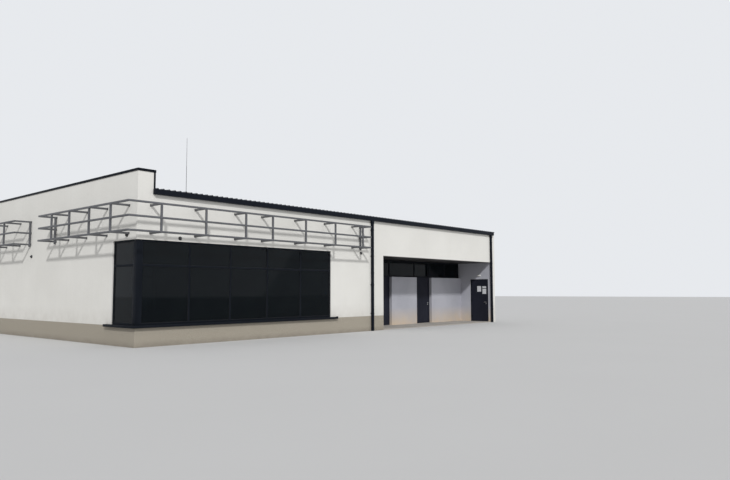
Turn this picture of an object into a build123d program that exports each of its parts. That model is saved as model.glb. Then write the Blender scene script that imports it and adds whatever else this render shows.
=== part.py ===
from build123d import *
import os
from math import cos, radians, sin, tan

# A single-storey retail pavilion in white render, in millimetres.
# X runs along the long front to the right, Y into the depth, Z up.
# The origin is the middle of the plan at ground level.

# Plan and heights
LENGTH = 20900
DEPTH = 13100
WALL = 400
GABLE_WALL = 570
PARTY_WALL = 400
FLOOR = 30
PLINTH = 620
WALL_TOP = 4615
ROOF = 170
ROOF_PITCH = 3
PARAPET = 5350

# Corner windows
WINDOW_RUN = 8290
WINDOW_RETURN = 1410
WINDOW_HEAD = 3220
TRANSOM = 2450
WINDOW_RECESS = 40
FRAME_DEPTH = 70
FRAME_BAR = 60
CORNER_POST = 200
FIRST_MULLION = 1875
WINDOW_BAY = 1610
MULLIONS = 4
GLASS = 24
SILL = 30
SILL_OVERHANG = 110
SILL_LUG = 300
SILL_LEG = 75
SILL_METAL = 10

# Porch, measured from its left side
PORCH_WIDTH = 8990
PORCH_HEAD = 3150
PORCH_DEPTH = 1890
SOFFIT = 20
SOFFIT_SETBACK = 8
PANEL = 300
PANEL_TOP = 2340
REVEAL = 150
INFILL_START = 1640
INFILL_WIDTH = 1280
DOORWAY_START = 4930
DOORWAY_WIDTH = 1280

# Doors
LEAF = 50
DOOR_GAP = 8
SIDE_DOOR_NEAR = 180
SIDE_DOOR_WIDTH = 1100
SIDE_DOOR_TOP = 2280
HINGE_RADIUS = 10
HINGE_HEIGHT = 120
HINGE_WIDTH = 30
HINGE_PLATE = 4
HINGE_SETTING = 1
HINGE_END = 200
HINGE_PIN = 4
PIN_CLEARANCE = 0.3
HANDLE_HEIGHT = 1050
HANDLE_INSET = 80
HANDLE_REACH = 55
HANDLE_LENGTH = 130
HANDLE_BAR = 20

# Ribbed roof sheet
SHEET = 5
SHEET_LAP = 50
RIB_STEP = 200
RIB_FOOT = 80
RIB_CREST = 36
RIB_HEIGHT = 37

# Eaves, coping and rainwater goods
FASCIA = 15
GUTTER_DEPTH = 105
GUTTER_HEIGHT = 160
GUTTER_METAL = 6
GUTTER_START = 60
GUTTER_END = 200
PIPE = 100
PIPE_FROM_PORCH = 790
PIPE_FROM_PARTY = 40
HOPPER = 150
HOPPER_HEIGHT = 150
CLIP_BAND = 5
CLIP_STRAP = 8
CLIP_LAP = 60
CLIP = 40
CLIP_HEIGHTS = (700, 1900, 3100, 4200)
COPING = 20
COPING_OVERHANG = 20
COPING_GAP = 12
COPING_LEG = 60
FLASHING = 10
FLASHING_FOLD = 50
RIDGE_CAP = 400
RIDGE_METAL = 12

# Steel sign frames that stand off the walls
POST = 60
RAIL = 60
ARM = 60
STAND_OFF = 600
RAIL_ABOVE_WINDOW = 200
RAIL_BELOW_GUTTER = 345
FRONT_POSTS = (450, 2030, 3610, 4780, 6360, 7920, 9510)
SIDE_POSTS = (460, 1810, 3170, 4480)
FRONT_RAIL_END = 10010
SIDE_RAIL_END = 5500
WALL_TUBE_GAP = 20
WALL_TUBE_FOOT = 90

# Small fittings
LAMP_RADIUS = 60
LAMP_BASE = 25
LAMP_DOME = 45
LAMP_ABOVE_WINDOW = 100
LAMP_FROM_CORNER = 1480
END_LAMP = (50, 0)
GABLE_LAMP = (7500, 2970)
PORCH_LAMP = 220
PORCH_LAMP_HEIGHT = 90
PORCH_LAMP_DEPTH = 60
PORCH_LAMP_GAP = 150
ROD = 16
ROD_HEIGHT = 1830
ROD_FOOT = 250
ROD_FOOT_HEIGHT = 40
ROD_PLACE = (1940, 420)

LEFT = -LENGTH / 2
FRONT = -DEPTH / 2
REAR = FRONT + DEPTH
PARTY_FACE = LENGTH - PARTY_WALL
PORCH_LEFT = PARTY_FACE - PORCH_WIDTH
INFILL_LEFT = PORCH_LEFT + INFILL_START
DOORWAY_LEFT = PORCH_LEFT + DOORWAY_START
SILL_TOP = PLINTH + SILL
GLAZING = PORCH_DEPTH + REVEAL
PORCH_BACK = PORCH_DEPTH + PANEL
INFILL_RIGHT = INFILL_LEFT + INFILL_WIDTH
DOORWAY_RIGHT = DOORWAY_LEFT + DOORWAY_WIDTH
SIDE_DOOR_FAR = SIDE_DOOR_NEAR + SIDE_DOOR_WIDTH


def roof_under(y):
    """Height of the roof's underside at y millimetres in from either long wall's face."""
    return WALL_TOP + y * tan(radians(ROOF_PITCH))


def roof_crest(y):
    """Height of the rib crests at y millimetres in from either long wall's face."""
    return roof_under(y) + ROOF + RIB_HEIGHT / cos(radians(ROOF_PITCH))


def section_under_roof(start, end, foot, extra=0):
    """Corners, seen along X, of a wall from one depth to another, its top cut to the roof's slope."""
    def top(y):
        return (FRONT + y, roof_under(min(y, DEPTH - y)) + extra)

    ridge = [top(DEPTH / 2)] if start < DEPTH / 2 < end else []
    return [(FRONT + start, foot), (FRONT + end, foot), top(end), *ridge, top(start)]


def block(x, y, z, mode=Mode.ADD):
    """A block in the part being built, between two distances from the front left corner on each axis."""
    with Locations((LEFT + sum(x) / 2, FRONT + sum(y) / 2, sum(z) / 2)):
        Box(x[1] - x[0], y[1] - y[0], z[1] - z[0], mode=mode)


def around(middle, width):
    """The two edges of a bar of the given width about its middle."""
    return (middle - width / 2, middle + width / 2)


def mirrored(y):
    """The same pair of depths seen from the rear face."""
    return (DEPTH - y[1], DEPTH - y[0])


def finish(piece, label):
    """Name a finished piece and write it."""
    piece.part.label = label
    export_step(piece.part, f"parts/{label}.step")


os.makedirs("parts", exist_ok=True)


# Floors
with BuildPart() as floor_slab:
    block((GABLE_WALL, PORCH_LEFT - WALL), (WALL, DEPTH - WALL), (0, FLOOR))
    block((PORCH_LEFT - WALL, PARTY_FACE), (PORCH_BACK, DEPTH - WALL), (0, FLOOR))
finish(floor_slab, "floor_slab")

with BuildPart() as porch_floor:
    block((PORCH_LEFT, PARTY_FACE), (0, PORCH_DEPTH), (0, FLOOR))
    block((INFILL_LEFT, INFILL_RIGHT), (PORCH_DEPTH, PORCH_BACK), (0, FLOOR))
    block((DOORWAY_LEFT, DOORWAY_RIGHT), (PORCH_DEPTH, PORCH_BACK), (0, FLOOR))
finish(porch_floor, "porch_floor")

# Plinths under the walls and windows
with BuildPart() as front_plinth:
    block((GABLE_WALL, PORCH_LEFT), (0, WALL), (0, PLINTH))
finish(front_plinth, "front_plinth")

with BuildPart() as gable_plinth:
    block((0, GABLE_WALL), (0, DEPTH), (0, PLINTH))
finish(gable_plinth, "gable_plinth")

with BuildPart() as rear_plinth:
    block((GABLE_WALL, PARTY_FACE), (DEPTH - WALL, DEPTH), (0, PLINTH))
finish(rear_plinth, "rear_plinth")


# Rendered walls
with BuildPart() as front_wall:
    with BuildSketch(Plane.YZ.offset(LEFT + GABLE_WALL)):
        with BuildLine():
            Polyline(*section_under_roof(0, WALL, PLINTH), close=True)
        make_face()
    extrude(amount=PARTY_FACE - GABLE_WALL)
    block((0, WINDOW_RUN), (0, WALL), (0, WINDOW_HEAD), mode=Mode.SUBTRACT)
    block((PORCH_LEFT, LENGTH), (0, WALL), (0, PORCH_HEAD + SOFFIT), mode=Mode.SUBTRACT)
finish(front_wall, "front_wall")

with BuildPart() as rear_wall:
    with BuildSketch(Plane.YZ.offset(LEFT + GABLE_WALL)):
        with BuildLine():
            Polyline(*section_under_roof(DEPTH - WALL, DEPTH, PLINTH), close=True)
        make_face()
    extrude(amount=PARTY_FACE - GABLE_WALL)
    block((0, WINDOW_RUN), mirrored((0, WALL)), (0, WINDOW_HEAD), mode=Mode.SUBTRACT)
finish(rear_wall, "rear_wall")

with BuildPart() as gable_wall:
    block((0, GABLE_WALL), (0, DEPTH), (PLINTH, PARAPET))
    block((0, GABLE_WALL), (0, WINDOW_RETURN), (PLINTH, WINDOW_HEAD), mode=Mode.SUBTRACT)
    block((0, GABLE_WALL), mirrored((0, WINDOW_RETURN)), (PLINTH, WINDOW_HEAD), mode=Mode.SUBTRACT)
finish(gable_wall, "gable_wall")

with BuildPart() as party_wall:
    with BuildSketch(Plane.YZ.offset(LEFT + PARTY_FACE)):
        with BuildLine():
            Polyline(*section_under_roof(SIDE_DOOR_FAR, DEPTH, 0, extra=ROOF), close=True)
        make_face()
    extrude(amount=PARTY_WALL)
finish(party_wall, "party_wall")

with BuildPart() as party_wall_pier:
    block((PARTY_FACE, LENGTH), (0, SIDE_DOOR_NEAR), (0, SIDE_DOOR_TOP))
finish(party_wall_pier, "party_wall_pier")

with BuildPart() as party_wall_lintel:
    with BuildSketch(Plane.YZ.offset(LEFT + PARTY_FACE)):
        with BuildLine():
            Polyline(*section_under_roof(0, SIDE_DOOR_FAR, SIDE_DOOR_TOP, extra=ROOF), close=True)
        make_face()
    extrude(amount=PARTY_WALL)
finish(party_wall_lintel, "party_wall_lintel")

# Porch enclosure
with BuildPart() as porch_cheek_wall:
    with BuildSketch(Plane.YZ.offset(LEFT + PORCH_LEFT - WALL)):
        with BuildLine():
            Polyline(*section_under_roof(WALL, PORCH_BACK, 0), close=True)
        make_face()
    extrude(amount=WALL)
finish(porch_cheek_wall, "porch_cheek_wall")

with BuildPart() as porch_panels:
    for panel in ((PORCH_LEFT, INFILL_LEFT), (INFILL_RIGHT, DOORWAY_LEFT), (DOORWAY_RIGHT, PARTY_FACE)):
        block(panel, (PORCH_DEPTH, PORCH_BACK), (0, PANEL_TOP))
finish(porch_panels, "porch_panels")

with BuildPart() as porch_infill_panel:
    block((INFILL_LEFT, INFILL_RIGHT), (GLAZING, GLAZING + FRAME_DEPTH), (FLOOR, PANEL_TOP))
finish(porch_infill_panel, "porch_infill_panel")

with BuildPart() as porch_beam:
    with BuildSketch(Plane.YZ.offset(LEFT + PORCH_LEFT)):
        with BuildLine():
            Polyline(*section_under_roof(PORCH_DEPTH, PORCH_BACK, PORCH_HEAD), close=True)
        make_face()
    extrude(amount=PARTY_FACE - PORCH_LEFT)
finish(porch_beam, "porch_beam")

with BuildPart() as porch_soffit:
    block((PORCH_LEFT, PARTY_FACE), (SOFFIT_SETBACK, PORCH_DEPTH), (PORCH_HEAD, PORCH_HEAD + SOFFIT))
finish(porch_soffit, "porch_soffit")

# Clerestory above the porch panels
CLERESTORY_PLACES = (
    INFILL_LEFT,
    INFILL_RIGHT,
    DOORWAY_LEFT,
    DOORWAY_RIGHT,
    (DOORWAY_RIGHT + PARTY_FACE) / 2,
)
clerestory_depth = (GLAZING, GLAZING + FRAME_DEPTH)
glass_depth = (GLAZING + (FRAME_DEPTH - GLASS) / 2, GLAZING + (FRAME_DEPTH + GLASS) / 2)

with BuildPart() as clerestory_frame:
    block((PORCH_LEFT, PARTY_FACE), clerestory_depth, (PANEL_TOP, PANEL_TOP + FRAME_BAR))
    block((PORCH_LEFT, PARTY_FACE), clerestory_depth, (PORCH_HEAD - FRAME_BAR, PORCH_HEAD))
    for place in (PORCH_LEFT + FRAME_BAR / 2, *CLERESTORY_PLACES, PARTY_FACE - FRAME_BAR / 2):
        block(around(place, FRAME_BAR), clerestory_depth, (PANEL_TOP, PORCH_HEAD))
finish(clerestory_frame, "clerestory_frame")

with BuildPart() as clerestory_glass:
    edges = (PORCH_LEFT + FRAME_BAR / 2, *CLERESTORY_PLACES, PARTY_FACE - FRAME_BAR / 2)
    for start, end in zip(edges, edges[1:]):
        pane = (start + FRAME_BAR / 2, end - FRAME_BAR / 2)
        block(pane, glass_depth, (PANEL_TOP + FRAME_BAR, PORCH_HEAD - FRAME_BAR))
finish(clerestory_glass, "clerestory_glass")


def ring_of_bars(x, y, z, bar):
    """Door frame without a sill: two jambs and a head inside the opening x by z."""
    block((x[0], x[0] + bar), y, z)
    block((x[1] - bar, x[1]), y, z)
    block(x, y, (z[1] - bar, z[1]))


HINGE_FACE = HINGE_RADIUS + HINGE_SETTING
KNUCKLE = HINGE_HEIGHT / 3


def hinge_feet(top):
    """Heights of the undersides of three hinges on a leaf that ends at the given height."""
    low = FLOOR + HINGE_END
    high = top - HINGE_END - HINGE_HEIGHT
    return (low, (low + high) / 2, high)


def hinge_plate(sign):
    """Plate of one hinge half, flat on the face beside the barrel, and its height in full."""
    with Locations((sign * (HINGE_FACE + HINGE_WIDTH / 2), HINGE_FACE - HINGE_PLATE / 2)):
        Rectangle(HINGE_WIDTH, HINGE_PLATE)


def hinge_knuckle(sign):
    """Barrel of one hinge half and the arm that joins it to its plate."""
    Circle(HINGE_RADIUS)
    with Locations((sign * HINGE_FACE / 2, HINGE_FACE - HINGE_PLATE / 2)):
        Rectangle(HINGE_FACE, HINGE_PLATE)


# Entrance door, hung on its left jamb and opening towards the porch
entrance_leaf_x = (DOORWAY_LEFT + FRAME_BAR + DOOR_GAP, DOORWAY_RIGHT - FRAME_BAR - DOOR_GAP)
entrance_leaf_y = (GLAZING, GLAZING + LEAF)

with BuildPart() as entrance_door_frame:
    ring_of_bars((DOORWAY_LEFT, DOORWAY_RIGHT), clerestory_depth, (FLOOR, PANEL_TOP), FRAME_BAR)
finish(entrance_door_frame, "entrance_door_frame")

with BuildPart() as entrance_door:
    block(entrance_leaf_x, entrance_leaf_y, (FLOOR + DOOR_GAP, PANEL_TOP - FRAME_BAR - DOOR_GAP))
finish(entrance_door, "entrance_door")

with BuildPart() as entrance_door_handles:
    handle_x = entrance_leaf_x[1] - HANDLE_INSET
    neck = (handle_x - HANDLE_BAR / 2, handle_x + HANDLE_BAR / 2)
    lever = (handle_x + HANDLE_BAR / 2 - HANDLE_LENGTH, handle_x + HANDLE_BAR / 2)
    level = (HANDLE_HEIGHT - HANDLE_BAR / 2, HANDLE_HEIGHT + HANDLE_BAR / 2)
    outside = entrance_leaf_y[0]
    inside = entrance_leaf_y[1]
    block(neck, (outside - HANDLE_REACH, outside), level)
    block(lever, (outside - HANDLE_REACH, outside - HANDLE_REACH + HANDLE_BAR), level)
    block(neck, (inside, inside + HANDLE_REACH), level)
    block(lever, (inside + HANDLE_REACH - HANDLE_BAR, inside + HANDLE_REACH), level)
finish(entrance_door_handles, "entrance_door_handles")

# Side door in the party wall, hung on its far jamb and opening into the porch
SIDE_FRAME = (PARTY_FACE + WINDOW_RECESS / 2, PARTY_FACE + WINDOW_RECESS / 2 + FRAME_DEPTH)
side_leaf_x = (SIDE_FRAME[0], SIDE_FRAME[0] + LEAF)
side_leaf_y = (SIDE_DOOR_NEAR + FRAME_BAR + DOOR_GAP, SIDE_DOOR_FAR - FRAME_BAR - DOOR_GAP)

with BuildPart() as side_door_frame:
    block(SIDE_FRAME, (SIDE_DOOR_NEAR, SIDE_DOOR_NEAR + FRAME_BAR), (FLOOR, SIDE_DOOR_TOP))
    block(SIDE_FRAME, (SIDE_DOOR_FAR - FRAME_BAR, SIDE_DOOR_FAR), (FLOOR, SIDE_DOOR_TOP))
    block(SIDE_FRAME, (SIDE_DOOR_NEAR, SIDE_DOOR_FAR), (SIDE_DOOR_TOP - FRAME_BAR, SIDE_DOOR_TOP))
    block((PARTY_FACE, LENGTH), (SIDE_DOOR_NEAR, SIDE_DOOR_FAR), (0, FLOOR))
finish(side_door_frame, "side_door_frame")

with BuildPart() as side_door:
    block(side_leaf_x, side_leaf_y, (FLOOR + DOOR_GAP, SIDE_DOOR_TOP - FRAME_BAR - DOOR_GAP))
finish(side_door, "side_door")

with BuildPart() as side_door_handle:
    handle_y = side_leaf_y[0] + HANDLE_INSET
    neck = (handle_y - HANDLE_BAR / 2, handle_y + HANDLE_BAR / 2)
    lever = (handle_y - HANDLE_BAR / 2, handle_y - HANDLE_BAR / 2 + HANDLE_LENGTH)
    level = (HANDLE_HEIGHT - HANDLE_BAR / 2, HANDLE_HEIGHT + HANDLE_BAR / 2)
    block((side_leaf_x[0] - HANDLE_REACH, side_leaf_x[0]), neck, level)
    block((side_leaf_x[0] - HANDLE_REACH, side_leaf_x[0] - HANDLE_REACH + HANDLE_BAR), lever, level)
finish(side_door_handle, "side_door_handle")


# Hinge halves: the frame's carry the pin, and the leaf's middle knuckle turns on it
entrance_axis = Plane(
    origin=(LEFT + entrance_leaf_x[0] - DOOR_GAP / 2, FRONT + GLAZING - HINGE_FACE, 0),
    x_dir=(1, 0, 0),
    z_dir=(0, 0, 1),
)
side_axis = Plane(
    origin=(LEFT + SIDE_FRAME[0] - HINGE_FACE, FRONT + side_leaf_y[1] + DOOR_GAP / 2, 0),
    x_dir=(0, -1, 0),
    z_dir=(0, 0, 1),
)
entrance_feet = hinge_feet(PANEL_TOP - FRAME_BAR)
side_feet = hinge_feet(SIDE_DOOR_TOP - FRAME_BAR)

with BuildPart() as door_frame_hinges:
    for axis, feet in ((entrance_axis, entrance_feet), (side_axis, side_feet)):
        for foot in feet:
            with BuildSketch(axis.offset(foot)):
                hinge_plate(-1)
                Circle(HINGE_PIN)
            extrude(amount=HINGE_HEIGHT)
            for low in (foot, foot + 2 * KNUCKLE):
                with BuildSketch(axis.offset(low)):
                    hinge_knuckle(-1)
                extrude(amount=KNUCKLE)
finish(door_frame_hinges, "door_frame_hinges")

for door, axis, feet in (("entrance", entrance_axis, entrance_feet), ("side", side_axis, side_feet)):
    with BuildPart() as leaf_hinges:
        for foot in feet:
            with BuildSketch(axis.offset(foot)):
                hinge_plate(1)
            extrude(amount=HINGE_HEIGHT)
            with BuildSketch(axis.offset(foot + KNUCKLE + PIN_CLEARANCE)):
                hinge_knuckle(1)
                Circle(HINGE_PIN + PIN_CLEARANCE, mode=Mode.SUBTRACT)
            extrude(amount=KNUCKLE - 2 * PIN_CLEARANCE)
    finish(leaf_hinges, f"{door}_door_hinges")


# Corner windows, front left and rear left
def window_frame(turn):
    """Bars of the long side of a corner window, with its corner post and a transom."""
    y = turn((WINDOW_RECESS, WINDOW_RECESS + FRAME_DEPTH))
    post = (WINDOW_RECESS, WINDOW_RECESS + CORNER_POST)
    block(post, turn(post), (SILL_TOP, WINDOW_HEAD))
    block((post[1], WINDOW_RUN), y, (SILL_TOP, SILL_TOP + FRAME_BAR))
    block((post[1], WINDOW_RUN), y, (WINDOW_HEAD - FRAME_BAR, WINDOW_HEAD))
    block((post[1], WINDOW_RUN), y, (TRANSOM - FRAME_BAR / 2, TRANSOM + FRAME_BAR / 2))
    for mullion in range(MULLIONS):
        block(around(FIRST_MULLION + mullion * WINDOW_BAY, FRAME_BAR), y, (SILL_TOP, WINDOW_HEAD))
    block((WINDOW_RUN - FRAME_BAR, WINDOW_RUN), y, (SILL_TOP, WINDOW_HEAD))


def return_frame(turn):
    """Bars of the short side of a corner window, from the corner post to its jamb."""
    x = (WINDOW_RECESS, WINDOW_RECESS + FRAME_DEPTH)
    start = WINDOW_RECESS + CORNER_POST
    block(x, turn((start, WINDOW_RETURN)), (SILL_TOP, SILL_TOP + FRAME_BAR))
    block(x, turn((start, WINDOW_RETURN)), (WINDOW_HEAD - FRAME_BAR, WINDOW_HEAD))
    block(x, turn((start, WINDOW_RETURN)), (TRANSOM - FRAME_BAR / 2, TRANSOM + FRAME_BAR / 2))
    block(x, turn((WINDOW_RETURN - FRAME_BAR, WINDOW_RETURN)), (SILL_TOP, WINDOW_HEAD))


def window_glass(turn):
    """One pane in each field of the frame, on both sides of the corner."""
    sheet = (WINDOW_RECESS + (FRAME_DEPTH - GLASS) / 2, WINDOW_RECESS + (FRAME_DEPTH + GLASS) / 2)
    rows = (
        (SILL_TOP + FRAME_BAR, TRANSOM - FRAME_BAR / 2),
        (TRANSOM + FRAME_BAR / 2, WINDOW_HEAD - FRAME_BAR),
    )
    corner = WINDOW_RECESS + CORNER_POST
    middles = [FIRST_MULLION + mullion * WINDOW_BAY for mullion in range(MULLIONS)]
    starts = [corner, *(middle + FRAME_BAR / 2 for middle in middles)]
    ends = [*(middle - FRAME_BAR / 2 for middle in middles), WINDOW_RUN - FRAME_BAR]
    for row in rows:
        for pane in zip(starts, ends):
            block(pane, turn(sheet), row)
        block(sheet, turn((corner, WINDOW_RETURN - FRAME_BAR)), row)


def window_sill(turn):
    """Folded metal sill round the corner, with a lug past each jamb."""
    inner = WINDOW_RECESS + FRAME_DEPTH
    z = (PLINTH, SILL_TOP)
    block((-SILL_OVERHANG, WINDOW_RUN + SILL_LUG), turn((-SILL_OVERHANG, 0)), z)
    block((-SILL_OVERHANG, 0), turn((-SILL_OVERHANG, WINDOW_RETURN + SILL_LUG)), z)
    block((0, WINDOW_RUN), turn((0, inner)), z)
    block((0, inner), turn((0, WINDOW_RETURN)), z)
    post = (WINDOW_RECESS, WINDOW_RECESS + CORNER_POST)
    block(post, turn(post), z)
    leg = (-SILL_OVERHANG, -SILL_OVERHANG + SILL_METAL)
    block((-SILL_OVERHANG, WINDOW_RUN + SILL_LUG), turn(leg), (SILL_TOP - SILL_LEG, SILL_TOP))
    block(leg, turn((-SILL_OVERHANG, WINDOW_RETURN + SILL_LUG)), (SILL_TOP - SILL_LEG, SILL_TOP))


def as_front(y):
    """Depths on the front face stay as they are."""
    return y


CORNERS = (as_front, mirrored)

for side, turn in zip(("front", "rear"), CORNERS):
    with BuildPart() as frame_bars:
        window_frame(turn)
    finish(frame_bars, f"{side}_window_frame")

with BuildPart() as window_returns:
    for turn in CORNERS:
        return_frame(turn)
finish(window_returns, "window_returns")

with BuildPart() as glass_panes:
    for turn in CORNERS:
        window_glass(turn)
finish(glass_panes, "window_glass")

with BuildPart() as window_sills:
    for turn in CORNERS:
        window_sill(turn)
finish(window_sills, "window_sills")


# Roofs, each from one eave to the ridge: a slab under a ribbed sheet that laps over the party wall
def sheet_profile(sign):
    """Corners of the ribbed sheet, seen along the slope, from the parapet to the far end."""
    width = LENGTH - GABLE_WALL - FLASHING
    ribs = int((width - RIB_FOOT) / RIB_STEP)
    corners = [(0, 0), (0, SHEET)]
    for rib in range(ribs + 1):
        middle = (width - ribs * RIB_STEP) / 2 + rib * RIB_STEP
        corners += [
            (middle - RIB_FOOT / 2, SHEET),
            (middle - RIB_CREST / 2, RIB_HEIGHT),
            (middle + RIB_CREST / 2, RIB_HEIGHT),
            (middle + RIB_FOOT / 2, SHEET),
        ]
    corners += [(width, SHEET), (width, 0)]
    return [(sign * x, z) for x, z in corners]


slope = radians(ROOF_PITCH)
for side, sign in (("front", -1), ("rear", 1)):
    eave = Plane(
        origin=(LEFT + GABLE_WALL + FLASHING, sign * (DEPTH / 2 + SHEET_LAP), roof_under(-SHEET_LAP) + ROOF),
        x_dir=(sign, 0, 0),
        z_dir=(0, -sign * cos(slope), sin(slope)),
    )
    with BuildPart() as roof_slab:
        with BuildSketch(Plane.YZ.offset(LEFT + GABLE_WALL)):
            with BuildLine():
                Polyline(
                    (sign * DEPTH / 2, WALL_TOP),
                    (0, roof_under(DEPTH / 2)),
                    (0, roof_under(DEPTH / 2) + ROOF),
                    (sign * DEPTH / 2, WALL_TOP + ROOF),
                    close=True,
                )
            make_face()
        extrude(amount=PARTY_FACE - GABLE_WALL)
        with BuildSketch(eave):
            with BuildLine():
                Polyline(*sheet_profile(sign), close=True)
            make_face()
        extrude(amount=(DEPTH / 2 + SHEET_LAP) / cos(slope))
    finish(roof_slab, f"{side}_roof")

# Ridge cap, bent over the rib crests
with BuildPart() as ridge_cap:
    with BuildSketch(Plane.YZ.offset(LEFT + GABLE_WALL + FLASHING)):
        with BuildLine():
            edge = roof_crest(DEPTH / 2 - RIDGE_CAP / 2)
            middle = roof_crest(DEPTH / 2)
            Polyline(
                (-RIDGE_CAP / 2, edge),
                (0, middle),
                (RIDGE_CAP / 2, edge),
                (RIDGE_CAP / 2, edge + RIDGE_METAL),
                (0, middle + RIDGE_METAL),
                (-RIDGE_CAP / 2, edge + RIDGE_METAL),
                close=True,
            )
        make_face()
    extrude(amount=LENGTH - GABLE_WALL - FLASHING)
finish(ridge_cap, "ridge_cap")

# Coping and inner flashing of the gable parapet
with BuildPart() as gable_coping:
    out = COPING_OVERHANG
    gap = COPING_GAP
    block((-out, GABLE_WALL + out), (-out, DEPTH + out), (PARAPET - COPING_LEG, PARAPET + COPING))
    block((-gap, GABLE_WALL + gap), (-gap, DEPTH + gap), (PARAPET - COPING_LEG, PARAPET), mode=Mode.SUBTRACT)
finish(gable_coping, "gable_coping")

with BuildPart() as parapet_flashing:
    with BuildSketch(Plane.YZ.offset(LEFT + GABLE_WALL)):
        with BuildLine():
            Polyline(
                (FRONT, WALL_TOP + ROOF),
                (0, roof_under(DEPTH / 2) + ROOF),
                (REAR, WALL_TOP + ROOF),
                (REAR, PARAPET),
                (FRONT, PARAPET),
                close=True,
            )
        make_face()
    extrude(amount=FLASHING)
    for turn in CORNERS:
        fold = (GABLE_WALL - FLASHING_FOLD, GABLE_WALL + FLASHING)
        block(fold, turn((-FLASHING, 0)), (WALL_TOP + ROOF, PARAPET))
finish(parapet_flashing, "parapet_flashing")

# Eave fascias, on which the gutters hang; both run on to the middle of the party wall
GUTTER_RUN = (GABLE_WALL - GUTTER_START, PARTY_FACE + GUTTER_END)
GUTTER_RIM = WALL_TOP + GUTTER_HEIGHT
with BuildPart() as eave_fascias:
    for turn in CORNERS:
        block(GUTTER_RUN, turn((-FASCIA, 0)), (WALL_TOP, GUTTER_RIM))
finish(eave_fascias, "eave_fascias")

# Box gutters with closed ends
with BuildPart() as gutters:
    outside = (-FASCIA - GUTTER_DEPTH, -FASCIA)
    inside = (outside[0] + GUTTER_METAL, outside[1] - GUTTER_METAL)
    bed = (GUTTER_RUN[0] + GUTTER_METAL, GUTTER_RUN[1] - GUTTER_METAL)
    for turn in CORNERS:
        block(GUTTER_RUN, turn(outside), (WALL_TOP, GUTTER_RIM))
    for turn in CORNERS:
        block(bed, turn(inside), (WALL_TOP + GUTTER_METAL, GUTTER_RIM), mode=Mode.SUBTRACT)
finish(gutters, "gutters")

# Square downpipes with their outlets and wall clips
PIPE_TOP = WALL_TOP
PIPE_MIDDLE = -FASCIA - GUTTER_DEPTH / 2
PIPE_PLACES = (PORCH_LEFT - PIPE_FROM_PORCH, PARTY_FACE - PIPE_FROM_PARTY)
CLIP_ENDS = ((-CLIP_LAP, CLIP_LAP), (-CLIP / 2, PIPE_FROM_PARTY + CLIP_LAP))


def pipe_section(place, turn, width, depth):
    """Section of a pipe, clip or outlet under the gutter's middle, at one place along the eave."""
    with Locations((LEFT + place, FRONT + sum(turn((PIPE_MIDDLE, PIPE_MIDDLE))) / 2)):
        Rectangle(width, depth)


with BuildPart() as downpipes:
    for turn in CORNERS:
        for place, ends in zip(PIPE_PLACES, CLIP_ENDS):
            with BuildSketch():
                pipe_section(place, turn, PIPE, PIPE)
            extrude(amount=PIPE_TOP - HOPPER_HEIGHT)
            with BuildSketch(Plane.XY.offset(PIPE_TOP - HOPPER_HEIGHT)):
                pipe_section(place, turn, PIPE, PIPE)
            with BuildSketch(Plane.XY.offset(PIPE_TOP)):
                pipe_section(place, turn, HOPPER, GUTTER_DEPTH)
            loft(ruled=True)
            for height in CLIP_HEIGHTS:
                with BuildSketch(Plane.XY.offset(height)):
                    pipe_section(place, turn, PIPE + 2 * CLIP_BAND, PIPE + 2 * CLIP_BAND)
                extrude(amount=CLIP)
                block(around(place, CLIP), turn((PIPE_MIDDLE, 0)), (height, height + CLIP))
                strap = (place + ends[0], place + ends[1])
                block(strap, turn((-CLIP_STRAP, 0)), (height, height + CLIP))
finish(downpipes, "downpipes")


# Steel sign frames round the left corners, with rails between the window's head and the gutter
LOW_RAIL = WINDOW_HEAD + RAIL_ABOVE_WINDOW
HIGH_RAIL = WALL_TOP - RAIL_BELOW_GUTTER
RAIL_HEIGHTS = (LOW_RAIL, (LOW_RAIL + HIGH_RAIL) / 2, HIGH_RAIL)


def front_frame(turn):
    """Rails and posts that stand in front of a long wall."""
    for height in RAIL_HEIGHTS:
        rail = (-STAND_OFF - RAIL / 2, FRONT_RAIL_END)
        block(rail, turn(around(-STAND_OFF, RAIL)), around(height, RAIL))
    for place in FRONT_POSTS:
        block(around(place, POST), turn(around(-STAND_OFF, POST)), (LOW_RAIL, HIGH_RAIL))


def side_frame(turn):
    """Rails and posts that stand in front of the gable wall, up to the long side's rails."""
    for height in RAIL_HEIGHTS:
        rail = turn((-STAND_OFF + RAIL / 2, SIDE_RAIL_END))
        block(around(-STAND_OFF, RAIL), rail, around(height, RAIL))
    for place in SIDE_POSTS:
        block(around(-STAND_OFF, POST), turn(around(place, POST)), (LOW_RAIL, HIGH_RAIL))


def front_arms(turn):
    """Arms from the posts to a long wall, and tied arms at the rails' free end."""
    for place in FRONT_POSTS:
        for height in (LOW_RAIL, HIGH_RAIL):
            block(around(place, ARM), turn((-STAND_OFF + POST / 2, 0)), around(height, ARM))
    end = (FRONT_RAIL_END - ARM, FRONT_RAIL_END)
    for height in RAIL_HEIGHTS:
        block(end, turn((-STAND_OFF + RAIL / 2, 0)), around(height, ARM))
    block(end, turn((-WALL_TUBE_GAP - ARM, -WALL_TUBE_GAP)), (LOW_RAIL - WALL_TUBE_FOOT, HIGH_RAIL))


def side_arms(turn):
    """Arms from the posts to the gable wall, and tied arms at the rails' free end."""
    for place in SIDE_POSTS:
        for height in (LOW_RAIL, HIGH_RAIL):
            block((-STAND_OFF + POST / 2, 0), turn(around(place, ARM)), around(height, ARM))
    end = turn((SIDE_RAIL_END - ARM, SIDE_RAIL_END))
    for height in RAIL_HEIGHTS:
        block((-STAND_OFF + RAIL / 2, 0), end, around(height, ARM))
    block((-WALL_TUBE_GAP - ARM, -WALL_TUBE_GAP), end, (LOW_RAIL - WALL_TUBE_FOOT, HIGH_RAIL))


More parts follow.
